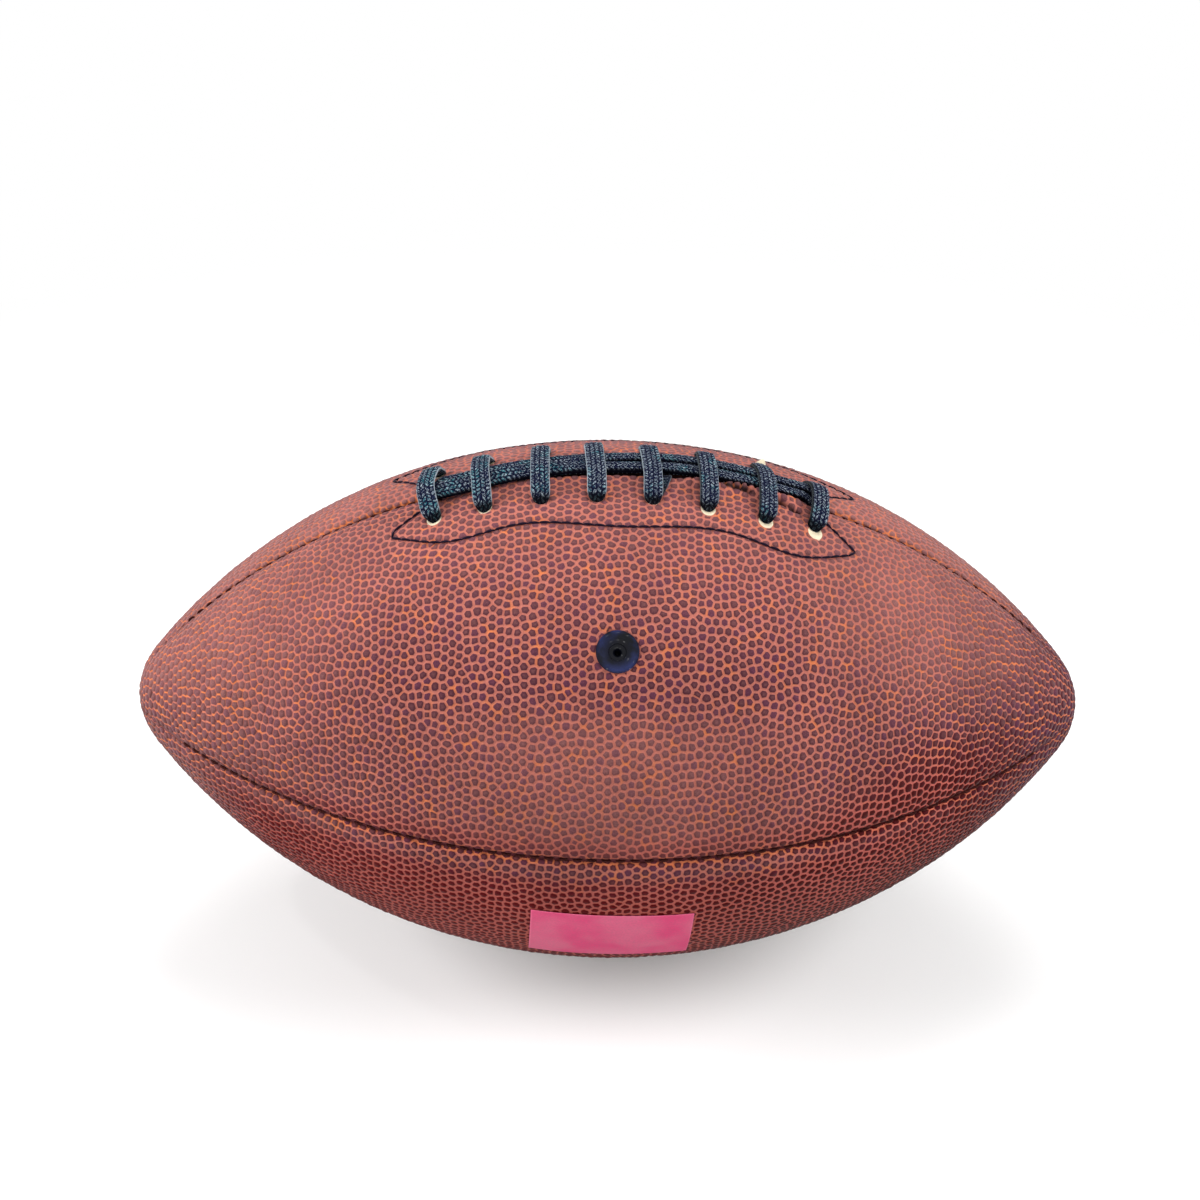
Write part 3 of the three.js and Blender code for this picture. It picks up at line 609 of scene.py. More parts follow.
def place_on_panel(ball, panel, stretch, turn, lift):
    """Points of a panel, folded in at its seams, with a lift off the leather's ground."""
    tilt = ball.tilt_at(stretch)
    out = ball.section(tilt, 0)[1]
    fold = fold_radius(out)
    gap_first = slit_half(ball, panel, tilt)
    gap_last = np.full_like(tilt, SEAM_GAP)
    from_first = turn * out
    from_last = (QUARTER - turn) * out
    near_first = from_first < from_last
    gap = np.where(near_first, gap_first, gap_last)
    distance = np.where(near_first, from_first, from_last)
    into_fold = np.maximum(gap + fold - distance, 0)
    bend = np.minimum(into_fold / fold, QUARTER)
    down = np.maximum(into_fold - QUARTER * fold, 0)
    in_fold = into_fold > 0
    offset = np.where(in_fold, gap + fold - (fold + lift) * np.sin(bend), distance)
    depth = np.where(in_fold, fold - (fold + lift) * np.cos(bend) + down, -lift)
    radius = ball.section(tilt, depth)[1]
    folded = np.arcsin(np.clip(offset / np.maximum(radius, 1e-6), -1, 1))
    bent = np.where(near_first, folded, QUARTER - folded)
    local = np.where(in_fold, bent, turn)
    fold_share = np.where(in_fold, np.sin(bend), 0)
    return ball.place(tilt, panel.start + panel.way * local, depth), fold_share


def row_places(ball, pitch):
    """Stretches of the rows of pebbles, from the middle of the ball out to each tip."""
    outward = [0.0]
    while outward[-1] < ball.last_stretch:
        outward.append(outward[-1] + ROW_STEP * pitch / float(ball.out_at(outward[-1])))
    return [-stretch for stretch in outward[:0:-1]] + outward


def scatter_pebbles(ball, panel, pitch, chance):
    """Middles of the pebbles, scattered in rows across a panel, as stretch and turn."""
    rows = []
    for stretch in row_places(ball, pitch):
        out = float(ball.out_at(stretch))
        first, last = (float(turn[0]) for turn in panel_turns(ball, panel, stretch))
        count = max(2, round((last - first) * out / pitch))
        turns = first + (np.arange(count) + chance.random()) * (last - first) / count
        rows.append(np.stack([np.full(count, stretch), turns], axis=1))
    middles = np.concatenate(rows)
    reach = JITTER * pitch / ball.out_at(middles[:, 0])
    return middles + chance.uniform(-1, 1, middles.shape) * reach[:, None]


def join_middles(middles, scale, pitch):
    """Triangles that join neighbouring pebbles, on a plan with its own scale at each pebble."""
    joined = geometry.delaunay_2d_cdt([Vector(middle) for middle in middles], [], [], 0, 1e-9)
    triangles = np.array(joined[2])
    if len(joined[0]) != len(middles):
        raise RuntimeError("two pebbles fell on one place")
    spans = middles[triangles] - middles[np.roll(triangles, 1, axis=1)]
    longest = np.linalg.norm(spans, axis=2).max(axis=1)
    return triangles[longest * scale[triangles].mean(axis=1) < LONGEST_EDGE * pitch]


def round_centres(middles, triangles):
    """The place as far from each of a triangle's three pebbles, kept near the triangle."""
    first = middles[triangles[:, 0]]
    second = middles[triangles[:, 1]] - first
    third = middles[triangles[:, 2]] - first
    double_area = second[:, 0] * third[:, 1] - second[:, 1] * third[:, 0]
    second_square = (second**2).sum(axis=1)
    third_square = (third**2).sum(axis=1)
    shift_along = third[:, 1] * second_square - second[:, 1] * third_square
    shift_across = second[:, 0] * third_square - third[:, 0] * second_square
    centre = first + np.stack([shift_along, shift_across], axis=1) / (2 * double_area[:, None])
    middle = middles[triangles].mean(axis=1)
    offset = centre - middle
    far = np.linalg.norm(offset, axis=1)
    limit = CENTRE_LIMIT * np.sqrt(np.abs(double_area))
    return middle + offset * np.minimum(1, limit / np.maximum(far, 1e-12))[:, None]


class Cells(NamedTuple):
    """Corners of the cells round the pebbles, in order round each."""

    corners: np.ndarray
    owner: np.ndarray
    corner: np.ndarray
    following: np.ndarray


def cells_round(middles, triangles, corners):
    """The cell of leather round each pebble with neighbours on all sides, a corner in each triangle."""
    owner = triangles.ravel()
    corner = np.repeat(np.arange(len(triangles)), 3)
    offset = corners[corner] - middles[owner]
    order = np.lexsort((np.arctan2(offset[:, 1], offset[:, 0]), owner))
    owner = owner[order]
    corner = corner[order]
    edges = np.concatenate([triangles[:, [0, 1]], triangles[:, [1, 2]], triangles[:, [2, 0]]])
    edges = np.unique(np.sort(edges, axis=1), axis=0)
    neighbours = np.bincount(edges.ravel(), minlength=len(middles))
    closed = np.bincount(owner, minlength=len(middles)) == neighbours
    kept = closed[owner]
    owner = owner[kept]
    corner = corner[kept]
    starts = np.concatenate([[True], owner[1:] != owner[:-1]])
    first = np.maximum.accumulate(np.where(starts, np.arange(len(owner)), 0))
    last = np.concatenate([starts[1:], [True]])
    following = np.where(last, first, np.arange(len(owner)) + 1)
    return Cells(corners, owner, corner, following)


def even_out(middles, cells):
    """Moves each pebble to the middle of its cell."""
    here = cells.corners[cells.corner] - middles[cells.owner]
    there = here[cells.following]
    area = here[:, 0] * there[:, 1] - here[:, 1] * there[:, 0]
    whole = np.bincount(cells.owner, weights=area, minlength=len(middles))
    full = whole > 0
    moved = middles.copy()
    for axis in range(2):
        moment = (here[:, axis] + there[:, axis]) * area / 3
        total = np.bincount(cells.owner, weights=moment, minlength=len(middles))
        moved[full, axis] += total[full] / whole[full]
    return moved


def settle(middles, scale_at, pitch):
    """Evens out scattered pebbles and gives them with their cells."""
    for _ in range(EVENING_ROUNDS):
        triangles = join_middles(middles, scale_at(middles), pitch)
        middles = even_out(middles, cells_round(middles, triangles, round_centres(middles, triangles)))
    triangles = join_middles(middles, scale_at(middles), pitch)
    corners = (round_centres(middles, triangles) + middles[triangles].mean(axis=1)) / 2
    return middles, cells_round(middles, triangles, corners)


class Leather:
    """A panel's leather laid out flat: places, lift and marks of its points, and its triangles."""

    def __init__(self, places, lift, pebble, tone, triangles, lengthwise):
        self.places = places
        self.lift = lift
        self.pebble = pebble
        self.tone = tone
        self.cut = np.zeros(len(places))
        self.triangles = triangles
        self.lengthwise = lengthwise


def panel_leather(ball, panel, sizes, chance):
    """Pebbled leather of a panel, laid out by stretch and turn."""
    pitch = sizes.pebble_pitch
    scattered = scatter_pebbles(ball, panel, pitch, chance)
    middles, cells = settle(scattered, lambda places: ball.out_at(places[:, 0]), pitch)
    along = np.abs(ball.section(ball.tilt_at(middles[:, 0]), 0)[0])
    towards_tip = smooth_step(*SHOULDER_INSET_CHANGES, along)
    inset = SHOULDER_INSET_BELLY + (SHOULDER_INSET_TIP - SHOULDER_INSET_BELLY) * towards_tip
    return raise_pebbles(middles, cells, inset, sizes.pebble_height, chance)


def raise_pebbles(middles, cells, insets, pebble_height, chance):
    """Leather with a raised pebble in each cell."""
    owners, cell = np.unique(cells.owner, return_inverse=True)
    heart = middles[cells.owner]
    spoke = cells.corners[cells.corner] - heart
    reach = np.linalg.norm(spoke, axis=1)
    even_reach = (np.bincount(cell, weights=reach) / np.bincount(cell))[cell]
    inset = insets[cells.owner]
    size = chance.normal(1, SIZE_SPREAD, len(owners))[cell]
    rounding = (1 - SHOULDER_ROUND) + SHOULDER_ROUND * even_reach / reach
    foot = heart + spoke * (1 - FOOT_INSET)
    shoulder = heart + spoke * ((1 - inset) * size * rounding)[:, None]
    height = pebble_height * chance.normal(1, HEIGHT_SPREAD, len(owners))
    used, corner = np.unique(cells.corner, return_inverse=True)
    slots = len(cell)
    places = np.concatenate([cells.corners[used], foot, shoulder, middles[owners]])
    lift = np.concatenate(
        [np.zeros(len(used)), np.full(slots, FOOT_HEIGHT), SHOULDER_SHARE * height[cell], height]
    )
    pebble = np.concatenate(
        [np.zeros(len(used)), np.full(slots, FOOT_DYE), np.full(slots, SHOULDER_DYE), np.ones(len(owners))]
    )
    tones = chance.random(len(owners))
    tone = np.concatenate([np.full(len(used), EVEN_TONE), tones[cell], tones[cell], tones])
    feet = len(used) + np.arange(slots)
    shoulders = feet + slots
    hearts = len(used) + 2 * slots + cell
    after = cells.following
    triangles = np.concatenate(
        [
            np.stack([corner, corner[after], feet[after]], axis=1),
            np.stack([corner, feet[after], feet], axis=1),
            np.stack([feet, feet[after], shoulders[after]], axis=1),
            np.stack([feet, shoulders[after], shoulders], axis=1),
            np.stack([shoulders, shoulders[after], hearts], axis=1),
        ]
    )
    edge = spoke[after] - spoke
    lengthwise = smooth_step(*LENGTHWISE_EDGE, np.abs(edge[:, 0]) / np.linalg.norm(edge, axis=1))
    return Leather(places, lift, pebble, tone, triangles, np.tile(lengthwise, 5))


def punch(ball, leather, middle, half_along, half_across, ragged=0.0):
    """Cuts a round opening in the leather, with a more or less ragged edge, and turns its edge down."""
    out = float(ball.out_at(middle[0]))
    scale = np.array([out / half_along, out / half_across])
    offset = (leather.places - middle) * scale
    distance = np.linalg.norm(offset, axis=1)
    removed = np.linalg.norm(offset[leather.triangles].mean(axis=1), axis=1) < 1
    kept = leather.triangles[~removed]
    border = np.intersect1d(leather.triangles[removed], kept)
    angle = np.arctan2(offset[border, 1], offset[border, 0])
    reach = 1 + ragged * sum(share * np.sin(waves * angle + start) for waves, share, start in RAGGED_WAVES)
    snapped = middle + offset[border] * (reach / distance[border])[:, None] / scale
    leather.places[border] = snapped
    leather.lift[border] = -HOLE_EDGE_DROP
    leather.pebble[border] = HOLE_EDGE_DYE
    count = len(leather.places)
    below = np.full(count, -1)
    below[border] = count + np.arange(len(border))
    edges = np.concatenate([kept[:, [0, 1]], kept[:, [1, 2]], kept[:, [2, 0]]])
    gone = np.concatenate([leather.triangles[removed][:, pair] for pair in ([1, 0], [2, 1], [0, 2])])
    code = edges[:, 0] * (count + 1) + edges[:, 1]
    rim = edges[np.isin(code, gone[:, 0] * (count + 1) + gone[:, 1])]
    wall = np.concatenate(
        [
            np.stack([rim[:, 1], rim[:, 0], below[rim[:, 0]]], axis=1),
            np.stack([rim[:, 1], below[rim[:, 0]], below[rim[:, 1]]], axis=1),
        ]
    )
    leather.places = np.concatenate([leather.places, snapped])
    leather.lift = np.concatenate([leather.lift, np.full(len(border), -HOLE_WALL)])
    leather.pebble = np.concatenate([leather.pebble, np.zeros(len(border))])
    leather.tone = np.concatenate([leather.tone, np.full(len(border), EVEN_TONE)])
    leather.cut = np.concatenate([leather.cut, np.ones(len(border))])
    leather.triangles = np.concatenate([kept, wall])
    leather.lengthwise = np.concatenate([leather.lengthwise[~removed], np.zeros(len(wall))])


def outline_path(side):
    """The stitched outline on the front side (1) or the back (-1), as (along, distance from the seam)."""
    mirrored = [(-along, distance) for along, distance in OUTLINE_HALF[:0:-1]]
    curve = smooth_path(mirrored + list(OUTLINE_HALF), OUTLINE_PARTS)
    start = np.linspace((-OUTLINE_END[0], OUTLINE_END[1]), curve[0], OUTLINE_END_PARTS)[:-1]
    end = np.linspace(curve[-1], OUTLINE_END, OUTLINE_END_PARTS)[1:]
    path = even_path(np.concatenate([start, curve, end]), OUTLINE_STEP)
    path = round_corners(path, OUTLINE_ROUNDING)
    if side > 0:
        shift = OUTLINE_DRIFT * smooth_step(0, OUTLINE_DRIFT_FULL, path[:, 0])
    else:
        along = path[:, 0].copy()
        shift = OUTLINE_BACK + OUTLINE_BACK_MIDDLE * smooth_step(*OUTLINE_BACK_MIDDLE_GROWS, np.abs(along))
        shift -= OUTLINE_BACK_DRIFT * smooth_step(0, OUTLINE_BACK_DRIFT_FULL, along)
        path[:, 0] += OUTLINE_BACK_RIGHT * smooth_step(*OUTLINE_BACK_ENDS, along)
        path[:, 0] -= OUTLINE_BACK_LEFT * smooth_step(*OUTLINE_BACK_ENDS, -along)
    path[:, 1] += shift * smooth_step(*OUTLINE_SHIFTS, path[:, 1])
    return path


def distance_to_path(points, path):
    """Distance from each point to the nearest part of a path."""
    nearest = np.full(len(points), np.inf)
    for start, end in zip(path[:-1], path[1:]):
        run = end - start
        share = np.clip((points - start) @ run / (run @ run), 0, 1)
        nearest = np.minimum(nearest, np.linalg.norm(points - start - share[:, None] * run, axis=1))
    return nearest


def bell(value, half):
    """A smooth bell, 1 at 0 and small beyond twice the half width."""
    return np.exp(-((value / half) ** 2))


def back_fall(ball, along, tilt, across):
    """How far the back panel lies lower behind the lacing."""
    to_back_seam = QUARTER * ball.section(tilt, 0)[1] - across
    fall = smooth_step(*BACK_FALL_STARTS, across) * smooth_step(0, BACK_FALL_ENDS, to_back_seam)
    return BACK_FALL * bell(along, BACK_FALL_HALF) * fall


def sunk_by_lacing(ball, panel, places):
    """How deep the leather sinks at stitches, holes and creases, less where the slit's front lip swells."""
    tilt = ball.tilt_at(places[:, 0])
    along = ball.belly * np.sin(tilt) - LACING_OFFSET
    across = places[:, 1] * ball.section(tilt, 0)[1]
    sunk = np.zeros(len(places))
    beside = (np.abs(along) < LACING_REACH_ALONG) & (across < LACING_REACH_ACROSS)
    near = beside & (np.abs(tilt) < ball.nose_start)
    spot = np.stack([along[near], across[near]], axis=1)
    groove = OUTLINE_GROOVE * bell(distance_to_path(spot, outline_path(panel.way)), OUTLINE_GROOVE_HALF)
    for number, place in enumerate(hole_places()):
        offset = spot - (place, hole_distance(number, panel.way))
        distance = np.linalg.norm(offset / (HOLE_HALF_ALONG, HOLE_HALF_ACROSS), axis=1) - 1
        groove += HOLE_DENT * bell(np.maximum(distance, 0), HOLE_DENT_REACH)
        if place > PUCKERED_FROM:
            angle = np.arctan2(offset[:, 1], offset[:, 0])
            seam_side = smooth_step(PUCKER_SIDE, -PUCKER_SIDE, offset[:, 1])
            pucker = PUCKER_DEPTH * np.cos(PUCKERS * angle)
            groove += pucker * bell(distance - PUCKER_AT, PUCKER_REACH) * seam_side
    groove += CREASE_DEPTH * crease_share(panel, *spot.T)
    groove -= CREASE_LIP * crease_share(panel, *spot.T, CREASE_LIP_SHIFT, CREASE_LIP_HALF)
    if panel.way > 0:
        beside_slit = smooth_step(*LIP_STARTS, spot[:, 0]) * smooth_step(*LIP_ENDS, spot[:, 0])
        swell = LIP_SWELL + LIP_RISE * smooth_step(*LIP_RISES, spot[:, 0])
        groove -= swell * beside_slit * bell(spot[:, 1] - LIP_CREST, LIP_HALF)
    sunk[near] = groove
    if panel.way < 0:
        sunk += back_fall(ball, along, tilt, across)
    return sunk


def sunk_by_valve(ball, places, sizes):
    """How deep the leather sinks towards the valve's rim."""
    offset = (places - (0, VALVE_TURN)) * ball.radius
    distance = np.linalg.norm(offset, axis=1) - sizes.valve_diameter / 2
    return VALVE_DENT * bell(np.maximum(distance, 0), VALVE_DENT_REACH)


def sunk_at_seams(ball, places):
    """The soft dip of the leather beside its seams."""
    out = ball.out_at(places[:, 0])
    edge = np.minimum(places[:, 1], QUARTER - places[:, 1]) * out
    return PILLOW_DEPTH * bell(np.maximum(edge, 0), PILLOW_REACH) * smooth_step(*PILLOW_GROWS, out)


def make_cover(sizes, colours):
    """Four pebbled panels and the gathered leather at the tips."""
    ball = Ball(sizes)
    material = cover_leather(colours)
    for order, panel in enumerate(PANELS):
        chance = np.random.default_rng(sizes.pebble_seed + order)
        leather = panel_leather(ball, panel, sizes, chance)
        sunk = sunk_at_seams(ball, leather.places)
        if panel.laced:
            sunk += sunk_by_lacing(ball, panel, leather.places)
        if panel.place == "upper_front":
            sunk += sunk_by_valve(ball, leather.places, sizes)
        leather.lift = leather.lift - sunk
        if panel.laced:
            for number, along in enumerate(hole_places()):
                tilt = ball.lacing_tilt(along)
                turn = hole_distance(number, panel.way) / float(ball.section(tilt, 0)[1])
                middle = np.array([float(ball.stretch_at(tilt)), turn])
                punch(ball, leather, middle, HOLE_HALF_ALONG, HOLE_HALF_ACROSS)
        if panel.place == "upper_front":
            half = sizes.valve_diameter / 2 - VALVE_OVERLAP
            punch(ball, leather, np.array([0.0, VALVE_TURN]), half, half, VALVE_RAGGED)
        points, fold_share = place_on_panel(ball, panel, *leather.places.T, leather.lift)
        # Painted shade in the slit and in the lip's creases
        slit_shade_mask = slit_share(ball, panel, leather.places)
        triangles = leather.triangles if panel.way < 0 else leather.triangles[:, ::-1]
        marks = leather_marks(ball, leather, points, fold_share, slit_shade_mask)
        piece = add_piece(f"cover_{panel.place}", points, [triangles], material, marks)
        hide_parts(f"cover_panel_{panel.place}")
    for place, side in (("left", -1), ("right", 1)):
        make_tip_gather(ball, place, side, sizes, material)
    make_seam_backings(ball, material)


def leather_marks(ball, leather, points, fold_share, slit):
    """All the marks of a pebbled piece."""
    marks = {"pebble": leather.pebble, "tone": leather.tone, "cut": leather.cut, "fold": fold_share}
    # The slit mark is painted shade in the open slit and in the lip's creases
    marks["slit"] = slit
    marks["lengthwise"] = leather.lengthwise
    return {**marks, **dye_marks(ball, points)}


# Painted sheen and painted shade on the pebbles, with ramps in degrees round from the lace seam and in
# lengths from the ball's middle
LOW_FROM = 78
LOW_OVER = 27
LOW_EARLIER_RIGHT = 20
LOW_RIGHT = (40 * MM, 90 * MM)
LOW_ENDS = (136 * MM, 96 * MM)
SEAM_ABOVE = 86.5
SEAM_ABOVE_HALF = 3.0
SEAM_ABOVE_SHADE = 0.4
SEAM_BELOW = 93
SEAM_BELOW_HALF = 2.4
SEAM_BELOW_LIGHT = 0.6
SEAM_ENDS = (125 * MM, 85 * MM)
RIGHT_SHADE_FULL = 55 * MM
UPPER = (70, 35)
LEFT_TIP_SHEEN = 0.72
LEFT_TIP = (50 * MM, 115 * MM)
LEFT_TIP_LOW_SHARE = 0.6
RIGHT_TIP_SHEEN = 0.62
RIGHT_TIP = (40 * MM, 85 * MM)
RIGHT_TIP_ENDS = (145 * MM, 90 * MM)
CROWN = (55, 8)
CROWN_ENDS = (138 * MM, 110 * MM)
CROWN_SHEEN_FRONT = 0.32
CROWN_SHEEN_BACK = 0.75
UNDER_VALVE_SHEEN = 0.44
UNDER_VALVE_STARTS = (52, 64)
UNDER_VALVE_ENDS = (92, 84)
UNDER_VALVE_HALF = 50 * MM
GATHERED = (70 * MM, 122 * MM)


def dye_marks(ball, points):
    """Painted light on the leather: sheen that pales pebbles, shade that darkens the lower panels, and how
    far it is gathered towards a tip.
    """
    along = points[:, 0]
    far = np.abs(along)
    degrees = np.degrees(np.arctan2(np.abs(points[:, 1]), points[:, 2] - ball.radius))
    # Painted shade: the lower panels darker and redder, more so just above the front seam and less on the
    # bulge below it
    earlier = LOW_EARLIER_RIGHT * smooth_step(*LOW_RIGHT, along)
    low = smooth_step(0, LOW_OVER, degrees - LOW_FROM + earlier) * smooth_step(*LOW_ENDS, far)
    shade_above_seam = SEAM_ABOVE_SHADE * bell(degrees - SEAM_ABOVE, SEAM_ABOVE_HALF)
    light_below_seam = SEAM_BELOW_LIGHT * bell(degrees - SEAM_BELOW, SEAM_BELOW_HALF)
    low = np.clip(low + (shade_above_seam - light_below_seam) * smooth_step(*SEAM_ENDS, far), 0, 1)
    # Painted sheen: paler pebbles on the upper tips, on the crown (more at the back) and on the belly under
    # the valve
    upper = smooth_step(*UPPER, degrees)
    left_tip = LEFT_TIP_SHEEN * smooth_step(*LEFT_TIP, -along)
    left_tip = left_tip * (LEFT_TIP_LOW_SHARE + (1 - LEFT_TIP_LOW_SHARE) * upper)
    right_tip = RIGHT_TIP_SHEEN * smooth_step(*RIGHT_TIP, along) * smooth_step(*RIGHT_TIP_ENDS, far) * upper
    tips = (left_tip + right_tip) * (1 - low)
    sheen_crown = smooth_step(*CROWN, degrees) * smooth_step(*CROWN_ENDS, far)
    sheen_crown = sheen_crown * np.where(points[:, 1] > 0, CROWN_SHEEN_BACK, CROWN_SHEEN_FRONT)
    under_valve = smooth_step(*UNDER_VALVE_STARTS, degrees) * smooth_step(*UNDER_VALVE_ENDS, degrees)
    under_valve = UNDER_VALVE_SHEEN * under_valve * bell(along, UNDER_VALVE_HALF)
    # The first mark is painted sheen; full and deep are painted shade, deep growing darker towards the right
    return {
        "paled": 1 - (1 - tips) * (1 - sheen_crown) * (1 - under_valve),
        "full": low,
        "deep": low * smooth_step(0, RIGHT_SHADE_FULL, along),
        "gathered": smooth_step(*GATHERED, far),
    }


def make_tip_gather(ball, place, side, sizes, material):
    """The pebbled leather under the points of the panels, drawn together at a tip."""
    chance = np.random.default_rng(sizes.pebble_seed + TIP_SEED + side)
    pitch = TIP_PITCH_SHARE * sizes.pebble_pitch
    rows = np.arange(-TIP_REACH, TIP_REACH, ROW_STEP * pitch)
    columns = np.arange(-TIP_REACH, TIP_REACH, pitch)
    scattered = np.stack(np.meshgrid(rows, columns, indexing="ij"), axis=-1)
    scattered[::2, :, 1] += pitch / 2
    scattered = scattered.reshape(-1, 2)
    scattered = scattered + chance.uniform(-1, 1, scattered.shape) * JITTER * pitch
    middles, cells = settle(scattered, lambda places: np.ones(len(places)), pitch)
    insets = np.full(len(middles), SHOULDER_INSET_TIP)
    leather = raise_pebbles(middles, cells, insets, sizes.pebble_height, chance)
    reach = np.linalg.norm(leather.places, axis=1)
    turn = np.arctan2(leather.places[:, 1], leather.places[:, 0])
    pinched = bell(np.abs(leather.places).min(axis=1), TIP_PINCH_HALF)
    sunk = TIP_DEPTH + TIP_PINCH * pinched + TIP_DROP * smooth_step(TIP_DROP_FROM, TIP_REACH, reach)
    points = ball.place(side * np.arccos(reach / ball.nose), turn, sunk - leather.lift)
    marks = leather_marks(ball, leather, points, pinched / 2, 0 * pinched)
    triangles = leather.triangles if side > 0 else leather.triangles[:, ::-1]
    add_piece(f"tip_gather_{place}", points, [triangles], material, marks)


def backing_strip(ball, name, tilts, turn, depth, hide):
    """A strip of turned-in leather that follows a seam."""
    across = np.linspace(-1, 1, BACKING_COLUMNS)
    out = ball.section(tilts, 0)[1]
    half = np.minimum(BACKING_HALF, BACKING_TIP_SHARE * out)
    turns = turn + across[None, :] * (half / out)[:, None]
    points = ball.place(tilts[:, None], turns, depth[:, None] + BACKING_SAG * across[None, :] ** 2)
    faces = grid_faces(len(tilts), len(across))
    points = points.reshape(-1, 3)
    none = np.zeros(len(points))
    marks = {"pebble": none + BACKING_DYE, "tone": none + EVEN_TONE, "cut": none, "fold": none, "slit": none}
    add_piece(name, points, [faces], hide, {**marks, **dye_marks(ball, points)})


def make_seam_backings(ball, material):
    """The leather that lies turned in under each seam, and a near-black strip under the slit as painted
    shade.
    """
    tilts = np.linspace(-1, 1, BACKING_ROWS) * math.acos(BACKING_END_RADIUS / ball.nose)
    depth = BACKING_UNDER_FOLD + IN_FOLD_SHARE * fold_radius(ball.section(tilts, 0)[1])
    for place, turn in (("lace", 0), ("front", QUARTER), ("back", -QUARTER), ("bottom", math.pi)):
        backing_strip(ball, f"seam_backing_{place}", tilts, turn, depth, material)
    slit_tilts = ball.lacing_tilt(np.linspace(-SLIT_CLOSED, SLIT_CLOSED, SLIT_BACKING_ROWS))
    slit_depth = np.full(SLIT_BACKING_ROWS, SLIT_BACKING_DEPTH)
    # The near-black strip under the slit is painted shade
    dark = smooth_hide("slit_shade_hide", SLIT_SHADE_COLOUR, rough=0.7)
    backing_strip(ball, "slit_shade_strip", slit_tilts, 0, slit_depth, dark)


# Lace


class LaceStop(NamedTuple):
    """A place on the lace's way beside the lacing's seam, with its section, its lie and its lean."""

    along: float
    in_front: float
    above: float
    width_share: float = 1.0
    thickness_share: float = 1.0
    lies_along: bool = True
    lean: float = 0.0


# Section of the lace in a hole, as shares of its width and thickness
SQUEEZED = (0.62, 1.3)
STRAND_THICKNESS = 1.35
LACE_ARCH = 1.1 * MM
TUCKED_CROSS = 4


def lace_cross(place, made, half):
    """From a front hole over the strands and down a back hole."""
    inside = -LACE_INSIDE
    front = made.front_end - 1.2 * half
    back = -made.back_hole - 0.4 * MM
    far = place + made.slant
    return [
        LaceStop(place, front - 2 * MM, inside),
        LaceStop(place, front - 0.3 * MM, inside + 2 * MM, *SQUEEZED),
        LaceStop(place, front, -1.4 * MM, *SQUEEZED),
        LaceStop(place, front - 0.35 * MM, 0.7 * MM, 0.86, 1.05),
        LaceStop(place + 0.4 * made.bow, front - 2.2 * MM, 1.9 * MM + 0.12 * made.crest),
        LaceStop(place + made.bow, 4.8 * MM, made.crest - 0.5 * MM),
        LaceStop(place + 0.5 * made.slant + made.bow, made.crest_at, made.crest),
        LaceStop(far + 0.4 * made.bow, made.shoulder_at, made.shoulder),
        LaceStop(far, (made.shoulder_at + 2 * back) / 3 + 0.6 * MM, 0.45 * made.shoulder),
        LaceStop(place, back + 0.2 * MM, 0.3 * MM, 0.9, 1.0),
        LaceStop(place, back, -1.8 * MM, *SQUEEZED),
        LaceStop(place, back + 0.3 * MM, inside + 2 * MM, *SQUEEZED),
        LaceStop(place, back + 2 * MM, inside),
    ]


def lace_slant(start, end, front, back):
    """Inside, from the back of one cross to the front of the next."""
    stops = []
    for share in (0.25, 0.5, 0.75):
        along = start + (end - start) * share
        in_front = back + 2 * MM + (front - back - 4 * MM) * share
        stops.append(LaceStop(along, in_front, -LACE_INSIDE))
    return stops


def lace_drop(side, column, made):
    """From a strand down through an end of the slit, turned on edge."""
    return [
        LaceStop(side * (column - 2.5 * MM), made.in_front, made.above, made.width, 1.0, False, made.lean),
        LaceStop(side * column, made.in_front * 0.6, made.above - 1.3 * MM, 0.6, 1.1, False, made.lean),
        LaceStop(side * (column + 0.8 * MM), 0, -1.8 * MM, 0.6, 1.0),
    ]


def lace_tail(side, column):
    """The loose end tucked inside."""
    return [
        LaceStop(side * (column + 1 * MM), 0, -LACE_INSIDE + 2 * MM, 0.7, 1.0),
        LaceStop(side * (column + 3 * MM), 0, -LACE_INSIDE, lies_along=False),
        LaceStop(side * (column + LACE_TAIL), 0, -LACE_INSIDE, lies_along=False),
    ]


def lace_to_hole(side, column, front):
    """From an end of the slit to the hole beside it."""
    return [
        LaceStop(side * (column + 0.5 * MM), 0, -LACE_INSIDE + 2 * MM, 0.6, 1.0),
        LaceStop(side * column, front * 2 * MM, -LACE_INSIDE),
    ]


class Strand(NamedTuple):
    """A strand half way between two crosses, with its share of the lace's width and its lean."""

    in_front: float
    above: float
    width: float
    lean: float


def strand(in_front, above, width, lean):
    """A strand's place from millimetres, a share and degrees."""
    return Strand(in_front * MM, above * MM, width, math.radians(lean))


FRONT_STRAND = (
    strand(2.6, 2.3, 1.02, 22),
    strand(0.6, 2.2, 1.0, 22),
    strand(-0.8, 1.6, 0.84, 8),
    strand(-1.2, 1.3, 0.72, 6),
    strand(-2.2, 1.3, 0.72, 8),
    strand(-1.8, 1.2, 0.7, 10),
    strand(-1.0, 1.2, 0.5, 14),
)
BACK_STRAND = (
    strand(-1.0, 1.9, 1.0, 10),
    strand(-1.6, 2.4, 1.0, 10),
    strand(-4.0, 1.9, 0.88, 6),
    strand(-5.6, 1.9, 0.78, 0),
    strand(-6.6, 1.9, 0.78, 0),
    strand(-6.2, 1.7, 0.76, 2),
    strand(-4.7, 1.8, 0.6, 8),
)


def strand_stops(strands):
    """Stops along a strand, one between each two crosses."""
    places = hole_places()
    middles = (places[1:] + places[:-1]) / 2
    stops = []
    for along, made in zip(middles, strands):
        section = (made.width, STRAND_THICKNESS)
        stops.append(LaceStop(float(along), made.in_front, made.above, *section, False, made.lean))
    return stops


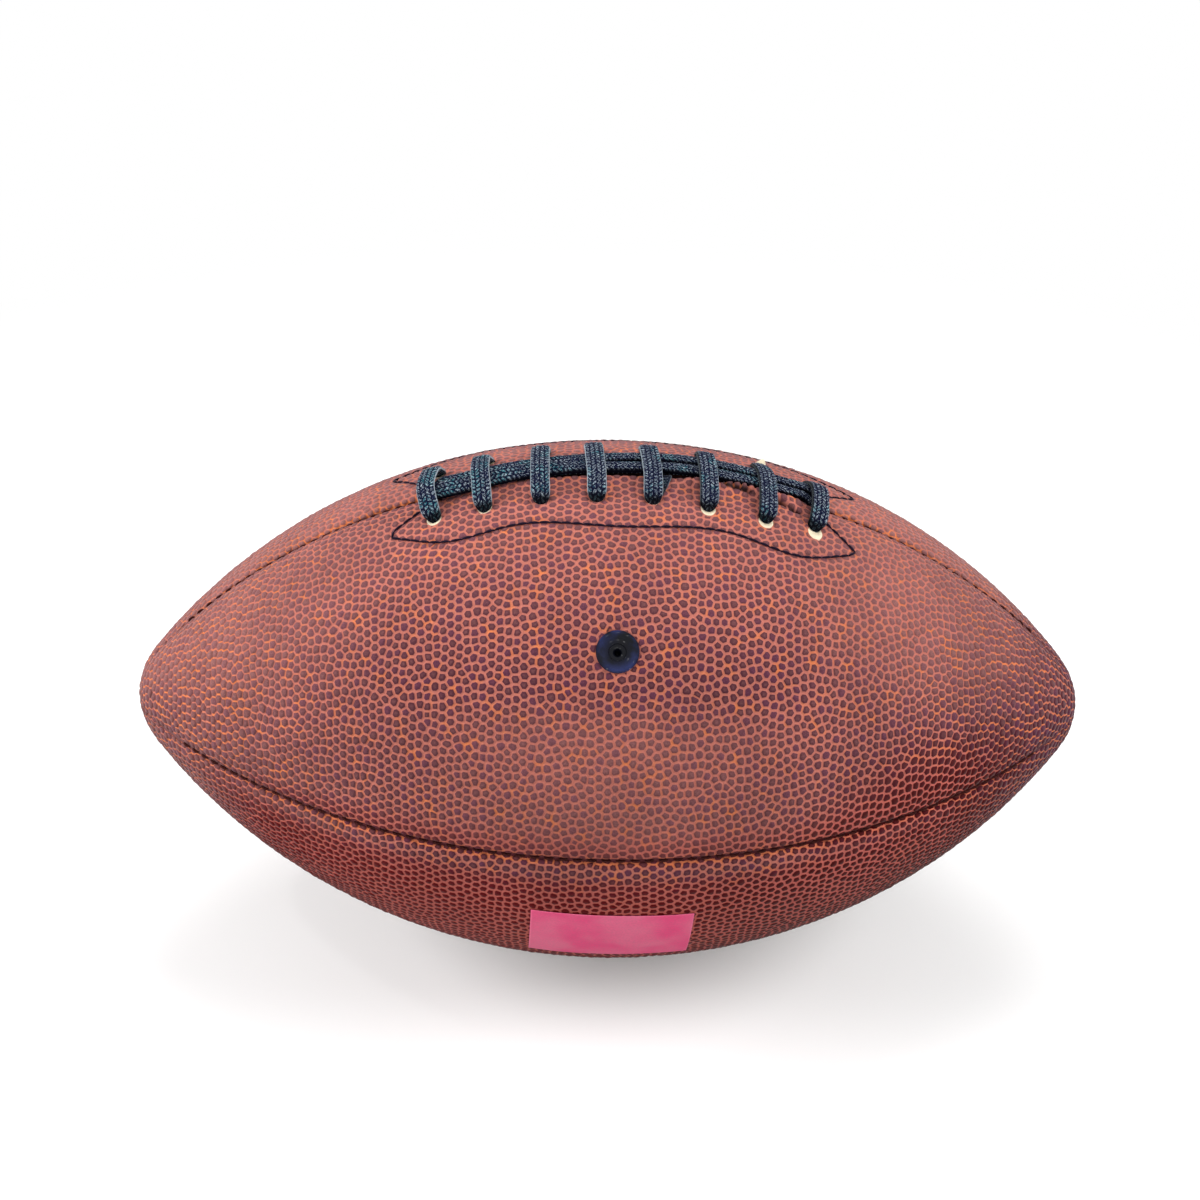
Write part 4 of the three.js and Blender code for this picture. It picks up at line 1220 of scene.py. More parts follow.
def lace_route(sizes):
    """All the lace's stops, from its left tail to its right tail."""
    places = hole_places()
    half = sizes.lace_thickness / 2
    lower_column = LAST_HOLE - 0.4 * MM
    upper_column = LAST_HOLE + 1.2 * MM
    route = lace_tail(-1, upper_column)[::-1]
    route += lace_drop(-1, upper_column, FRONT_STRAND[0])[::-1]
    route += strand_stops(FRONT_STRAND)
    route += lace_drop(1, lower_column, FRONT_STRAND[-1])
    route += lace_to_hole(1, lower_column, 1)
    last = LACE_HOLES - 1
    for number in range(last, -1, -1):
        place = float(places[number])
        made = CROSSES[number]
        route += lace_cross(place, made, half)
        if number:
            route += lace_slant(place, float(places[number - 1]), made.front_end, -made.back_hole)
    route += lace_to_hole(-1, lower_column, -1)[::-1]
    route += lace_drop(-1, lower_column, BACK_STRAND[0])[::-1]
    route += strand_stops(BACK_STRAND)
    route += lace_drop(1, upper_column, BACK_STRAND[-1])
    route += lace_tail(1, upper_column)
    return route


def tucked_end():
    """The end of the lace that shows beside a cross, from under the strands to a front hole."""
    place = float(hole_places()[TUCKED_CROSS])
    return [
        LaceStop(place + 3.4 * MM, 0.5 * MM, -2.5 * MM, 0.8, 0.8),
        LaceStop(place + 3.2 * MM, 2.8 * MM, 1.0 * MM, 0.85, 0.7),
        LaceStop(place + 2.6 * MM, 5.0 * MM, 1.7 * MM, 0.9, 0.7),
        LaceStop(place + 1.6 * MM, 8.0 * MM, 1.3 * MM, 0.9, 0.7),
        LaceStop(place + 0.5 * MM, 10.4 * MM, 0.2 * MM, 0.8, 0.8),
        LaceStop(place, 11.0 * MM, -2.4 * MM, 0.6, 1.0),
    ]


# The braid
SECTION_TOP_CORNERS = 21
SECTION_UNDER_CORNERS = 11
SECTION_SQUARENESS = 3.2
SECTION_FULLNESS = 0.42
PLAIT_COLUMNS = 4
PLAIT_SLANT = 0.9
PLAIT_RELIEF = 0.2 * MM
PLAIT_LEVEL = 0.6
PLAIT_FULLNESS = 0.7
PLAIT_SHARPNESS = 4
# Looseness of the plaits, as (share of the pitch, waves along, waves across)
PLAIT_WAVES = ((0.16, 1.7, 5), (0.12, 0.61, -7))
BRAID_PARTS = 24
BRAID_STEP_SEEN = 0.33 * MM
BRAID_STEP_HIDDEN = 1.5 * MM
BRAID_HIDDEN_BELOW = -1.5 * MM
# Heights above the surface over which a diving lace bends and takes painted shade, in front and behind, and
# a shift below it
DIVE_FRONT = 3.2 * MM
DIVE_BACK = 1.6 * MM
DIVE_PAST = 0.2 * MM


def lace_section():
    """Corners round the lace's section, as shares of half its width and half its thickness."""
    over = np.linspace(-1, 1, SECTION_TOP_CORNERS)
    under = np.linspace(1, -1, SECTION_UNDER_CORNERS)[1:-1]
    return np.concatenate([over, under]), np.concatenate([section_height(over), -section_height(under)])


def section_height(across):
    """Height of a rounded flat section across its width."""
    return np.maximum(1 - np.abs(across) ** SECTION_SQUARENESS, 0) ** SECTION_FULLNESS


def plait_height(along, across, pitch):
    """Height of the braid's plaits, 0 between them and 1 on top, slanting both ways by turns."""
    column = np.clip((across + 1) / 2 * PLAIT_COLUMNS, 0, PLAIT_COLUMNS - 1e-6)
    number = np.floor(column)
    inside = column - number - 0.5
    way = np.where(number % 2 == 0, 1, -1)
    run = along / pitch
    loose = sum(share * np.sin(run * ahead + beside * across) for share, ahead, beside in PLAIT_WAVES)
    phase = run + way * inside * PLAIT_SLANT + 0.5 * (number % 2) + loose
    ridge = 0.5 + 0.5 * np.cos(2 * math.pi * phase)
    return ridge**PLAIT_FULLNESS * (1 - (2 * np.abs(inside)) ** PLAIT_SHARPNESS)


def braid(ball, route, sizes):
    """Points, faces and marks of a flat braid through its stops."""
    stops = np.array([ball.lacing_place(stop.along, stop.in_front, stop.above) for stop in route])
    ways = []
    for stop, point in zip(route, stops):
        if stop.lies_along:
            beside = ball.lacing_place(stop.along + MM, stop.in_front, stop.above)
        else:
            lean_front = stop.in_front + MM * math.cos(stop.lean)
            beside = ball.lacing_place(stop.along, lean_front, stop.above - MM * math.sin(stop.lean))
        ways.append((beside - point) / np.linalg.norm(beside - point))
    marks = [[stop.width_share, stop.thickness_share, stop.above, stop.lies_along] for stop in route]
    fine = smooth_path(np.concatenate([stops, np.array(ways), np.array(marks)], axis=1), BRAID_PARTS)
    lengths = np.linalg.norm(np.diff(fine[:, :3], axis=0), axis=1)
    seen = fine[1:, -2] > BRAID_HIDDEN_BELOW
    density = np.where(seen, 1 / BRAID_STEP_SEEN, 1 / BRAID_STEP_HIDDEN)
    run = np.concatenate([[0], np.cumsum(lengths)])
    rank = np.concatenate([[0], np.cumsum(lengths * density)])
    picks = np.linspace(0, rank[-1], int(rank[-1]) + 1)
    rings = np.stack([np.interp(picks, rank, column) for column in fine.T], axis=1)
    length = np.interp(picks, rank, run)
    path = rings[:, :3]
    wide = rings[:, 3:6]
    width_share, thickness_share, above, lies_along = rings[:, 6:].T
    ahead = unit(np.gradient(path, axis=0))
    wide = unit(wide - (wide * ahead).sum(axis=1, keepdims=True) * ahead)
    outward = np.cross(wide, ahead)
    across, over = lace_section()
    half_width = sizes.lace_width / 2 * width_share
    half_thickness = sizes.lace_thickness / 2 * thickness_share
    plaits = plait_height(length[:, None], across[None, :], sizes.plait_pitch)
    relief = PLAIT_RELIEF * (plaits - PLAIT_LEVEL) * over[None, :]
    crossing = np.clip(lies_along, 0, 1)
    # diving bends the lace's edges as it dives into a hole, and its mark paints shade there
    dark_above = np.where(path[:, 1] < 0, DIVE_FRONT, DIVE_BACK)
    diving = crossing * (1 - smooth_step(0, 1, (above + DIVE_PAST) / dark_above))
    arch = LACE_ARCH * diving[:, None] * across**2
    points = (
        path[:, None, :]
        + wide[:, None, :] * (half_width[:, None] * across)[:, :, None]
        + outward[:, None, :] * (half_thickness[:, None] * over + relief - arch)[:, :, None]
    )
    sides = len(across)
    walls, ends = ring_faces(len(path), sides)
    marks = {
        "lace_along": np.repeat(length / MM, sides),
        "lace_across": np.tile(across, len(path)),
        "plait": plaits.ravel(),
        "crossing": np.repeat(crossing, sides),
        "diving": np.repeat(diving, sides),
    }
    return points.reshape(-1, 3), [walls, ends], marks


def make_lace(sizes, colours):
    """The flat braided lace, and its end tucked in under a cross."""
    ball = Ball(sizes)
    material = lace_braid(colours)
    points, faces, marks = braid(ball, lace_route(sizes), sizes)
    piece = add_piece("lace_braid", points, faces, material, marks)
    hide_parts("lace")
    points, faces, marks = braid(ball, tucked_end(), sizes)
    add_piece("lace_tucked_end", points, faces, material, marks)


# Stitches and small pieces
STITCH_RINGS = 7
STITCH_SIDES = 8
STITCH_ENDS = (0.06, 0.94)
STITCH_FULLNESS = 0.45
STITCH_ARCH = 0.6
STITCH_DIP = 6


def stitch_row(starts, ends, uprights, diameter, rise, sink):
    """Separate stitches, each a short round thread that rises from its holes and dips back."""
    share = np.linspace(0, 1, STITCH_RINGS)
    swell = np.sin(math.pi * np.clip(share, *STITCH_ENDS)) ** STITCH_FULLNESS
    arch = rise * np.sin(math.pi * share) ** STITCH_ARCH - sink * (np.abs(2 * share - 1) ** STITCH_DIP)
    angle = angles_round(STITCH_SIDES)
    run = ends - starts
    ahead = unit(run)
    beside = unit(np.cross(ahead, uprights))
    upward = np.cross(beside, ahead)
    middle = starts[:, None, :] + run[:, None, :] * share[None, :, None]
    middle = middle + upward[:, None, :] * arch[None, :, None]
    radius = diameter / 2 * swell
    round_way = (
        beside[:, None, None, :] * np.cos(angle)[None, None, :, None]
        + upward[:, None, None, :] * np.sin(angle)[None, None, :, None]
    )
    points = middle[:, :, None, :] + round_way * radius[None, :, None, None]
    walls = []
    caps = []
    for number in range(len(starts)):
        wall, cap = ring_faces(STITCH_RINGS, STITCH_SIDES, number * STITCH_RINGS * STITCH_SIDES)
        walls.append(wall)
        caps.append(cap)
    along = np.broadcast_to(share[None, :, None], points.shape[:3])
    turn = np.broadcast_to(angle[None, None, :] / (2 * math.pi), points.shape[:3])
    marks = {"thread_along": along.ravel() * len(share), "thread_turn": turn.ravel()}
    return points.reshape(-1, 3), [np.concatenate(walls), np.concatenate(caps)], marks


def add_stitches(name, line, uprights, length_share, thread, material):
    """Stitches along a line, each a share of the way from one point to the next."""
    middles = (line[:-1] + line[1:]) / 2
    starts = middles + (line[:-1] - middles) * length_share
    ends = middles + (line[1:] - middles) * length_share
    points, faces, marks = stitch_row(starts, ends, uprights, *thread)
    return add_piece(name, points, faces, material, marks)


# Rows of the outline, as (name, side, rise of its stitches)
OUTLINE_ROWS = (("front", 1, 0.14 * MM), ("back", -1, 0.0))
OUTLINE_STITCH_HEIGHT = 0.1 * MM
OUTLINE_STITCH_SINK = 0.18 * MM
OUTLINE_STITCH_SHARE = 1.04


def make_outline_stitches(sizes, colours):
    """The rows of stitches beside the lacing."""
    ball = Ball(sizes)
    material = thread_finish("outline_thread", colours.outline_thread, rough=0.5)
    for place, side, rise in OUTLINE_ROWS:
        along, across = even_path(outline_path(side), sizes.stitch_length).T
        height = np.full(len(along), OUTLINE_STITCH_HEIGHT)
        if side < 0:
            height = height - back_fall(ball, along, ball.lacing_tilt(along), across)
        line = ball.lacing_place(along, side * across, height)
        uprights = (ball.lacing_place(along, side * across, height + MM) - line)[:-1]
        thread = (sizes.stitch_diameter, rise, OUTLINE_STITCH_SINK)
        name = f"outline_stitches_{place}"
        piece = add_stitches(name, line, uprights, OUTLINE_STITCH_SHARE, thread, material)
        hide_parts(f"facing_stitch_{place}")


SEAM_STITCH_SHARE = 0.8
SEAM_STITCH_RISE = 0.3 * MM
SEAM_STITCH_SINK = 0.8 * MM
SEAM_THREAD_END = 0.9
SEAM_THREAD_ROWS = 200
SEAM_THREAD_IN_SLIT = 3 * MM


def make_seam_threads(sizes, colours):
    """Stitches that show at the bottom of each seam."""
    ball = Ball(sizes)
    material = thread_finish("seam_thread", colours.seam_thread, rough=0.7)
    beside_slit = float(ball.lacing_tilt(SLIT_CLOSED - SEAM_THREAD_IN_SLIT))
    before_slit = float(ball.lacing_tilt(SEAM_THREAD_IN_SLIT - SLIT_CLOSED))
    end = SEAM_THREAD_END * ball.nose_start
    seams = (
        ("front", QUARTER, -end, end),
        ("back", -QUARTER, -end, end),
        ("bottom", math.pi, -end, end),
        ("lace_left", 0, -end, before_slit),
        ("lace_right", 0, beside_slit, end),
    )
    thread = (sizes.seam_thread_diameter, SEAM_STITCH_RISE, SEAM_STITCH_SINK)
    for place, turn, first, last in seams:
        tilts = np.linspace(first, last, SEAM_THREAD_ROWS)
        depth = IN_FOLD_SHARE * fold_radius(ball.section(tilts, 0)[1])
        line = even_path(ball.place(tilts, turn, depth), sizes.seam_stitch_length)
        axis_points = line * (1, 0, 0) + np.array([0, 0, ball.radius])
        uprights = (line - axis_points)[:-1]
        name = f"seam_stitches_{place}"
        piece = add_stitches(name, line, uprights, SEAM_STITCH_SHARE, thread, material)
        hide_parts(f"seam_thread_{place}")


# Pale edge of a lace hole, as (share of the hole's size, height in millimetres)
HOLE_EDGE_PROFILE = (
    (1.03, -0.5),
    (1.0, -0.1),
    (0.92, -0.06),
    (0.8, -0.1),
    (0.4, -0.3),
    (0.3, -2.6),
    (1.03, -2.6),
)
HOLE_EDGE_SIDES = 32
HOLE_EDGE_TOP = -1
HOLE_EDGE_FOLLOWS = (1, 0.4)
LACE_BEFORE_END = 1.2 * MM


def make_hole_edges(sizes, colours):
    """The pale facing that shows round the lace holes, and curls up beside the bare hole."""
    ball = Ball(sizes)
    material = hole_edge_finish(colours)
    sides = HOLE_EDGE_SIDES
    rings = len(HOLE_EDGE_PROFILE)
    angle = angles_round(sides)
    curled = BARE_HOLE_CURL * np.maximum(np.sin(angle + BARE_HOLE_CURL_TURN), 0) ** BARE_HOLE_CURL_SHARPNESS
    points = []
    walls = []
    for side in (1, -1):
        for number, place in enumerate(hole_places()):
            first = len(points) * sides
            middle = hole_distance(number, side)
            made = CROSSES[number]
            lace_at = made.front_end - LACE_BEFORE_END if side > 0 else made.back_hole
            bare = side < 0 and number == BARE_HOLE
            for share, height in HOLE_EDGE_PROFILE:
                raised = 0
                if bare and height > HOLE_EDGE_TOP:
                    raised = curled * smooth_step(*BARE_HOLE_CURL_SHARES, share)
                along = place + HOLE_HALF_ALONG * share * np.cos(angle)
                shift = (lace_at - middle) * smooth_step(*HOLE_EDGE_FOLLOWS, share)
                in_front = side * (middle + shift + HOLE_HALF_ACROSS * share * np.sin(angle))
                points.append(ball.lacing_place(along, in_front, height * MM + raised))
            wall, _ = ring_faces(rings, sides, first, closed_ends=False)
            closing = np.arange(sides)
            after = (closing + 1) % sides
            bottom = first + (rings - 1) * sides
            close = np.stack([bottom + closing, bottom + after, first + after, first + closing], axis=1)
            for faces in (wall, close):
                walls.append(faces if side < 0 else faces[:, ::-1])
    add_piece("hole_edges", np.concatenate(points), [np.concatenate(walls)], material)


# Rubber pieces of the valve, as (radius, height) where a list is given
VALVE_SIDES = 128
VALVE_FOOT = -6 * MM
VALVE_WALL = 0.1 * MM
VALVE_LIP = 0.55 * MM
VALVE_LIP_HEIGHT = 0.42 * MM
VALVE_MOUTH = 2.5 * MM
VALVE_BORE = 2.44 * MM
VALVE_BOWL_RINGS = 14
VALVE_BOWL_DEPTH = 1.55 * MM
VALVE_BOWL_SHAPE = 1.4
VALVE_DARK_SHARE = 0.3
PLUG_SIDES = 64
PLUG_PROFILE = (
    (0.02 * MM, -5.5 * MM),
    (0.75 * MM, -5.4 * MM),
    (0.82 * MM, -2.2 * MM),
    (1.0 * MM, -1.7 * MM),
    (1.4 * MM, -1.42 * MM),
    (1.9 * MM, -1.24 * MM),
    (2.42 * MM, -1.15 * MM),
    (VALVE_BORE, VALVE_FOOT),
)


def lathe(profile, sides):
    """Points of a turned form, as rings of (radius, height)."""
    angle = angles_round(sides)
    rings = []
    for radius, height in profile:
        rings.append(np.stack([radius * np.cos(angle), radius * np.sin(angle), height + 0 * angle], axis=1))
    return np.concatenate(rings)


def valve_frame(ball):
    """Axes and seat of the valve: two across it and one outwards."""
    outward = np.array([0, -math.sin(VALVE_TURN), math.cos(VALVE_TURN)])
    along = np.array([1.0, 0, 0])
    beside = np.cross(outward, along)
    seat = ball.place(np.float64(0), VALVE_TURN, 0)
    return np.stack([along, beside, outward]), seat


def add_turned(name, profile, sides, inside_out, ball, rim, material):
    """A turned rubber piece of the valve, with a mark that grows towards its middle."""
    axes, seat = valve_frame(ball)
    inward = np.repeat([smooth_step(rim, VALVE_DARK_SHARE * rim, radius) for radius, _ in profile], sides)
    walls, _ = ring_faces(len(profile), sides, closed_ends=False)
    faces = [walls[:, ::-1] if inside_out else walls]
    return add_piece(name, seat + lathe(profile, sides) @ axes, faces, material, {"inward": inward})


def make_valve(sizes, colours):
    """The valve's smooth bowl and the plug in its middle."""
    ball = Ball(sizes)
    material = valve_rubber(colours)
    rim = sizes.valve_diameter / 2
    lip = rim - VALVE_LIP
    housing = [
        (rim - VALVE_WALL, VALVE_FOOT),
        (rim - VALVE_WALL, -0.9 * MM),
        (rim, -0.3 * MM),
        (rim - 0.05 * MM, 0.1 * MM),
        (rim - 0.25 * MM, 0.34 * MM),
        (lip, VALVE_LIP_HEIGHT),
    ]
    for share in np.linspace(0, 1, VALVE_BOWL_RINGS)[1:]:
        drop = VALVE_BOWL_DEPTH * math.sin(share * QUARTER) ** VALVE_BOWL_SHAPE
        housing.append((lip - (lip - VALVE_MOUTH) * share, VALVE_LIP_HEIGHT - drop))
    housing += [(VALVE_BORE, -1.3 * MM), (VALVE_BORE, VALVE_FOOT)]
    piece = add_turned("valve_rim", housing, VALVE_SIDES, False, ball, rim, material)
    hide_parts("valve_housing")
    piece = add_turned("valve_plug", PLUG_PROFILE, PLUG_SIDES, True, ball, rim, material)
    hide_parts("valve_core")


LABEL_COLUMNS = 94
LABEL_ROWS = 60
LABEL_HEIGHT = 0.66 * MM
LABEL_THICKNESS = 0.16 * MM
LABEL_RIPPLES = 9
LABEL_RIPPLE = 0.07 * MM
LABEL_RIPPLE_WAVES = (2.2, 5.5)
LABEL_EDGE_LIFT = 0.08 * MM
LABEL_EDGE_REACH = 0.8 * MM


def make_label(sizes, colours):
    """The plain paper label on the lower front panel."""
    ball = Ball(sizes)
    chance = np.random.default_rng(sizes.pebble_seed + LABEL_SEED)
    columns = LABEL_COLUMNS
    rows = LABEL_ROWS
    along = np.linspace(-0.5, 0.5, columns)[:, None] * sizes.label_length
    round_ball = np.linspace(-0.5, 0.5, rows)[None, :] * sizes.label_height
    along, round_ball = np.broadcast_arrays(along, round_ball)
    ripples = np.zeros_like(along)
    for _ in range(LABEL_RIPPLES):
        way = chance.uniform(0, math.pi)
        wave = chance.uniform(*LABEL_RIPPLE_WAVES) * MM
        start = chance.uniform(0, 2 * math.pi)
        run = (along * math.cos(way) + round_ball * math.sin(way)) / wave
        ripples = ripples + np.sin(run + start) / LABEL_RIPPLES
    edge = np.minimum(sizes.label_length / 2 - np.abs(along), sizes.label_height / 2 - np.abs(round_ball))
    height = LABEL_HEIGHT + LABEL_RIPPLE * ripples + LABEL_EDGE_LIFT * bell(edge, LABEL_EDGE_REACH)
    turned_along = along * math.cos(LABEL_SKEW) - round_ball * math.sin(LABEL_SKEW)
    turned_round = along * math.sin(LABEL_SKEW) + round_ball * math.cos(LABEL_SKEW)
    tilt = np.arcsin(turned_along / ball.belly)
    turn = LABEL_TURN + turned_round / ball.radius
    top = ball.place(tilt, turn, -height).reshape(-1, 3)
    under = ball.place(tilt, turn, -height + LABEL_THICKNESS).reshape(-1, 3)
    count = columns * rows
    sheet = grid_faces(columns, rows)[:, [0, 3, 2, 1]]
    border = np.concatenate(
        [
            np.arange(rows - 1),
            np.arange(columns - 1) * rows + rows - 1,
            columns * rows - 1 - np.arange(rows - 1),
            (columns - 1 - np.arange(columns - 1)) * rows,
        ]
    )
    after = np.roll(border, -1)
    rim = np.stack([after, border, border + count, after + count], axis=1)
    points = np.concatenate([top, under])
    faces = [np.concatenate([sheet, sheet[:, ::-1] + count, rim])]
    marks = {"label_edge": np.tile(edge.ravel() / MM, 2)}
    piece = add_piece("label_sheet", points, faces, label_paper(colours), marks)
    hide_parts("paper_label")


# Materials


def new_material(name):
    """A material with its shader, ready for nodes."""
    material = bpy.data.materials.new(name)
    material.use_nodes = True
    tree = material.node_tree
    return material, tree, tree.nodes["Principled BSDF"]


def set_inputs(tree, node, inputs):
    """Sets or links a node's inputs."""
    for name, value in inputs.items():
        if isinstance(value, bpy.types.NodeSocket):
            tree.links.new(value, node.inputs[name])
        else:
            node.inputs[name].default_value = value


def dress(tree, shader, colour, rough, normal, gloss=0.5, others=None):
    """Gives a finish's shader its colour, roughness, normal and gloss, and what else it needs."""
    inputs = {"Base Color": colour, "Roughness": rough, "Normal": normal, "Specular IOR Level": gloss}
    set_inputs(tree, shader, {**inputs, **(others or {})})


def add_node(tree, kind, inputs=None, **settings):
    """A node with its settings, its inputs set or linked."""
    made = tree.nodes.new(kind)
    for name, value in settings.items():
        setattr(made, name, value)
    set_inputs(tree, made, inputs or {})
    return made


def mark(tree, name):
    """A mark kept on a mesh's points."""
    return add_node(tree, "ShaderNodeAttribute", attribute_name=name).outputs["Fac"]


def on_object(tree):
    """The place on the object."""
    return add_node(tree, "ShaderNodeTexCoord").outputs["Object"]


def reckon(tree, operation, first, second=0.0):
    """A value reckoned from one or two others."""
    return add_node(tree, "ShaderNodeMath", {0: first, 1: second}, operation=operation).outputs[0]


def plus(tree, first, second):
    """The sum of two values."""
    return reckon(tree, "ADD", first, second)


def minus(tree, first, second):
    """The difference of two values."""
    return reckon(tree, "SUBTRACT", first, second)


def times(tree, first, second):
    """The product of two values."""
    return reckon(tree, "MULTIPLY", first, second)


def spread(tree, value, low, high, to_low=0.0, to_high=1.0, smooth=True):
    """A value spread from one range over another."""
    kind = "SMOOTHSTEP" if smooth else "LINEAR"
    inputs = {"Value": value, "From Min": low, "From Max": high, "To Min": to_low, "To Max": to_high}
    return add_node(tree, "ShaderNodeMapRange", inputs, interpolation_type=kind).outputs["Result"]


def between(tree, share, low, high):
    """A share of 0 to 1 as a value from low to high."""
    return spread(tree, share, 0.0, 1.0, low, high, smooth=False)


def noise(tree, place, scale, detail, roughness=0.5, distortion=0.0):
    """Noise at a place."""
    inputs = {"Vector": place, "Scale": scale, "Detail": detail}
    inputs.update({"Roughness": roughness, "Distortion": distortion})
    return add_node(tree, "ShaderNodeTexNoise", inputs).outputs["Fac"]


def mix_colours(tree, share, first, second):
    """A mix of two colours, each a colour or a socket."""
    sides = [side if isinstance(side, bpy.types.NodeSocket) else (*side, 1) for side in (first, second)]
    inputs = {0: share, 6: sides[0], 7: sides[1]}
    return add_node(tree, "ShaderNodeMix", inputs, data_type="RGBA").outputs[2]


def scale_colour(tree, colour, amount):
    """A colour made lighter or darker by a value."""
    return add_node(tree, "ShaderNodeVectorMath", {0: colour, 3: amount}, operation="SCALE").outputs[0]


def darker(colour, share):
    """A share of a plain colour."""
    return tuple(part * share for part in colour)


def bump(tree, height, strength, distance):
    """A bump from a height."""
    inputs = {"Height": height, "Strength": strength, "Distance": distance}
    return add_node(tree, "ShaderNodeBump", inputs).outputs["Normal"]


def new_group(name, inputs, outputs):
    """A new node group with its sockets, and the sockets of its entry and its exit."""
    group = bpy.data.node_groups.new(name, "ShaderNodeTree")
    for way, names in (("INPUT", inputs), ("OUTPUT", outputs)):
        for socket in names:
            group.interface.new_socket(socket, in_out=way, socket_type="NodeSocketFloat")
    entry = group.nodes.new("NodeGroupInput")
    leave = group.nodes.new("NodeGroupOutput")
    return group, entry.outputs, leave.inputs


def place_group(tree, make_group, inputs):
    """A node group, made once by its function, placed in a material."""
    name = make_group.__name__.removesuffix("_group")
    group = bpy.data.node_groups.get(name) or make_group(name)
    return add_node(tree, "ShaderNodeGroup", inputs, node_tree=group).outputs


def fine_grain_group(name):
    """A node group of fine grain: a mottle for colour and roughness and a height for bump."""
    group, entry, leave = new_group(name, ("Grain Scale", "Patch Scale"), ("Mottle", "Patch", "Height"))
    place = on_object(group)
    grain = noise(group, place, entry["Grain Scale"], 3.0, roughness=0.6)
    patch = noise(group, place, entry["Patch Scale"], 2.0)
    group.links.new(spread(group, grain, 0.3, 0.7), leave["Mottle"])
    group.links.new(spread(group, patch, 0.3, 0.7), leave["Patch"])
    group.links.new(grain, leave["Height"])
    return group


def fine_grain(tree, grain_scale, patch_scale):
    """The fine grain placed in a material."""
    return place_group(tree, fine_grain_group, {"Grain Scale": grain_scale, "Patch Scale": patch_scale})


def twisted_thread_group(name):
    """A node group of twisted yarn: a ply mask and a height."""
    group, entry, leave = new_group(name, ("Along", "Turn", "Twist"), ("Ply", "Height"))
    run = times(group, entry["Along"], entry["Twist"])
    turn = times(group, entry["Turn"], 6 * math.pi)
    wave = reckon(group, "SINE", plus(group, run, turn))
    group.links.new(spread(group, wave, -1.0, 1.0), leave["Ply"])
    group.links.new(wave, leave["Height"])
    return group


def plain_weave_group(name):
    """A node group of plain woven cloth: a thread mask and a height."""
    group, entry, leave = new_group(name, ("Pitch",), ("Thread", "Height"))
    place = add_node(group, "ShaderNodeSeparateXYZ", {"Vector": on_object(group)}).outputs
    rate = reckon(group, "DIVIDE", math.pi, entry["Pitch"])
    warp = reckon(group, "SINE", times(group, place["X"], rate))
    weft = reckon(group, "SINE", times(group, plus(group, place["Y"], place["Z"]), rate))
    woven = times(group, warp, weft)
    group.links.new(spread(group, woven, -1.0, 1.0), leave["Thread"])
    group.links.new(woven, leave["Height"])
    return group


def cover_leather(colours):
    """Pebbled leather: dark dyed pebbles on a coral ground, rubbed thin in the folds, with painted
    highlights, sheen and shade.
    """
    material, tree, shader = new_material("cover_leather")
    grain = fine_grain(tree, 2600.0, 38.0)
    streak = noise(tree, on_object(tree), 210.0, 2.0)
    pebble = mark(tree, "pebble")
    tone = mark(tree, "tone")
    full = mark(tree, "full")
    gathered = mark(tree, "gathered")
    lengthwise = mark(tree, "lengthwise")
    ragged = times(tree, minus(tree, grain["Height"], 0.5), 0.5)
    joined = times(tree, times(tree, minus(tree, 1.0, lengthwise), gathered), 0.4)
    dyed = spread(tree, plus(tree, plus(tree, pebble, ragged), joined), 0.28, 0.72)
    creased = times(tree, lengthwise, gathered)
    rubbed = plus(tree, times(tree, mark(tree, "fold"), 0.5), times(tree, creased, 0.18))
    rubbed = spread(tree, plus(tree, streak, rubbed), 0.5, 0.8)
    ground = mix_colours(tree, rubbed, colours.leather_ground, colours.leather_rub)
    # Painted shade: a redder ground on the lower panels
    ground = mix_colours(tree, times(tree, full, 0.85), ground, colours.ground_full)
    ground = scale_colour(tree, ground, between(tree, grain["Mottle"], 0.88, 1.08))
    uneven = between(tree, tone, 1.0, 0.4)
    # Painted highlight: each pebble lighter at its middle
    sheen_crown = times(tree, spread(tree, pebble, 0.8, 1.0), uneven)
    top = mix_colours(tree, sheen_crown, colours.pebble_deep, colours.pebble_top)
    violet = times(tree, spread(tree, tone, 0.5, 1.0), 0.7)
    top = mix_colours(tree, violet, top, colours.pebble_violet)
    # Painted shade: darker, redder pebbles on the lower panels, darker still towards the right
    top = mix_colours(tree, full, top, colours.pebble_full)
    top = scale_colour(tree, top, between(tree, mark(tree, "deep"), 1.0, 0.5))
    # Painted sheen: paler pebbles at the tips, on the crown and under the valve
    paled = times(tree, mark(tree, "paled"), spread(tree, uneven, 0.4, 1.0, 0.8, 1.0, smooth=False))
    top = mix_colours(tree, paled, top, colours.pebble_worn)
    top = scale_colour(tree, top, between(tree, grain["Mottle"], 0.8, 1.25))
    skin = mix_colours(tree, dyed, ground, top)
    skin = scale_colour(tree, skin, between(tree, grain["Patch"], 0.93, 1.06))
    skin = mix_colours(tree, mark(tree, "cut"), skin, colours.hole_edge)
    # Painted shade in the open slit under the strands and in the lip's creases
    skin = scale_colour(tree, skin, spread(tree, mark(tree, "slit"), 0.0, 0.8, 1.0, 0.06))
    rough = plus(tree, between(tree, dyed, 0.66, 0.48), between(tree, grain["Mottle"], -0.06, 0.06))
    normal = bump(tree, grain["Height"], 0.35, 0.12 * MM)
    sheen = {"Sheen Weight": 0.04, "Sheen Roughness": 0.5, "Sheen Tint": (1, 0.88, 0.84, 1)}
    dress(tree, shader, skin, rough, normal, gloss=0.05, others=sheen)
    return material


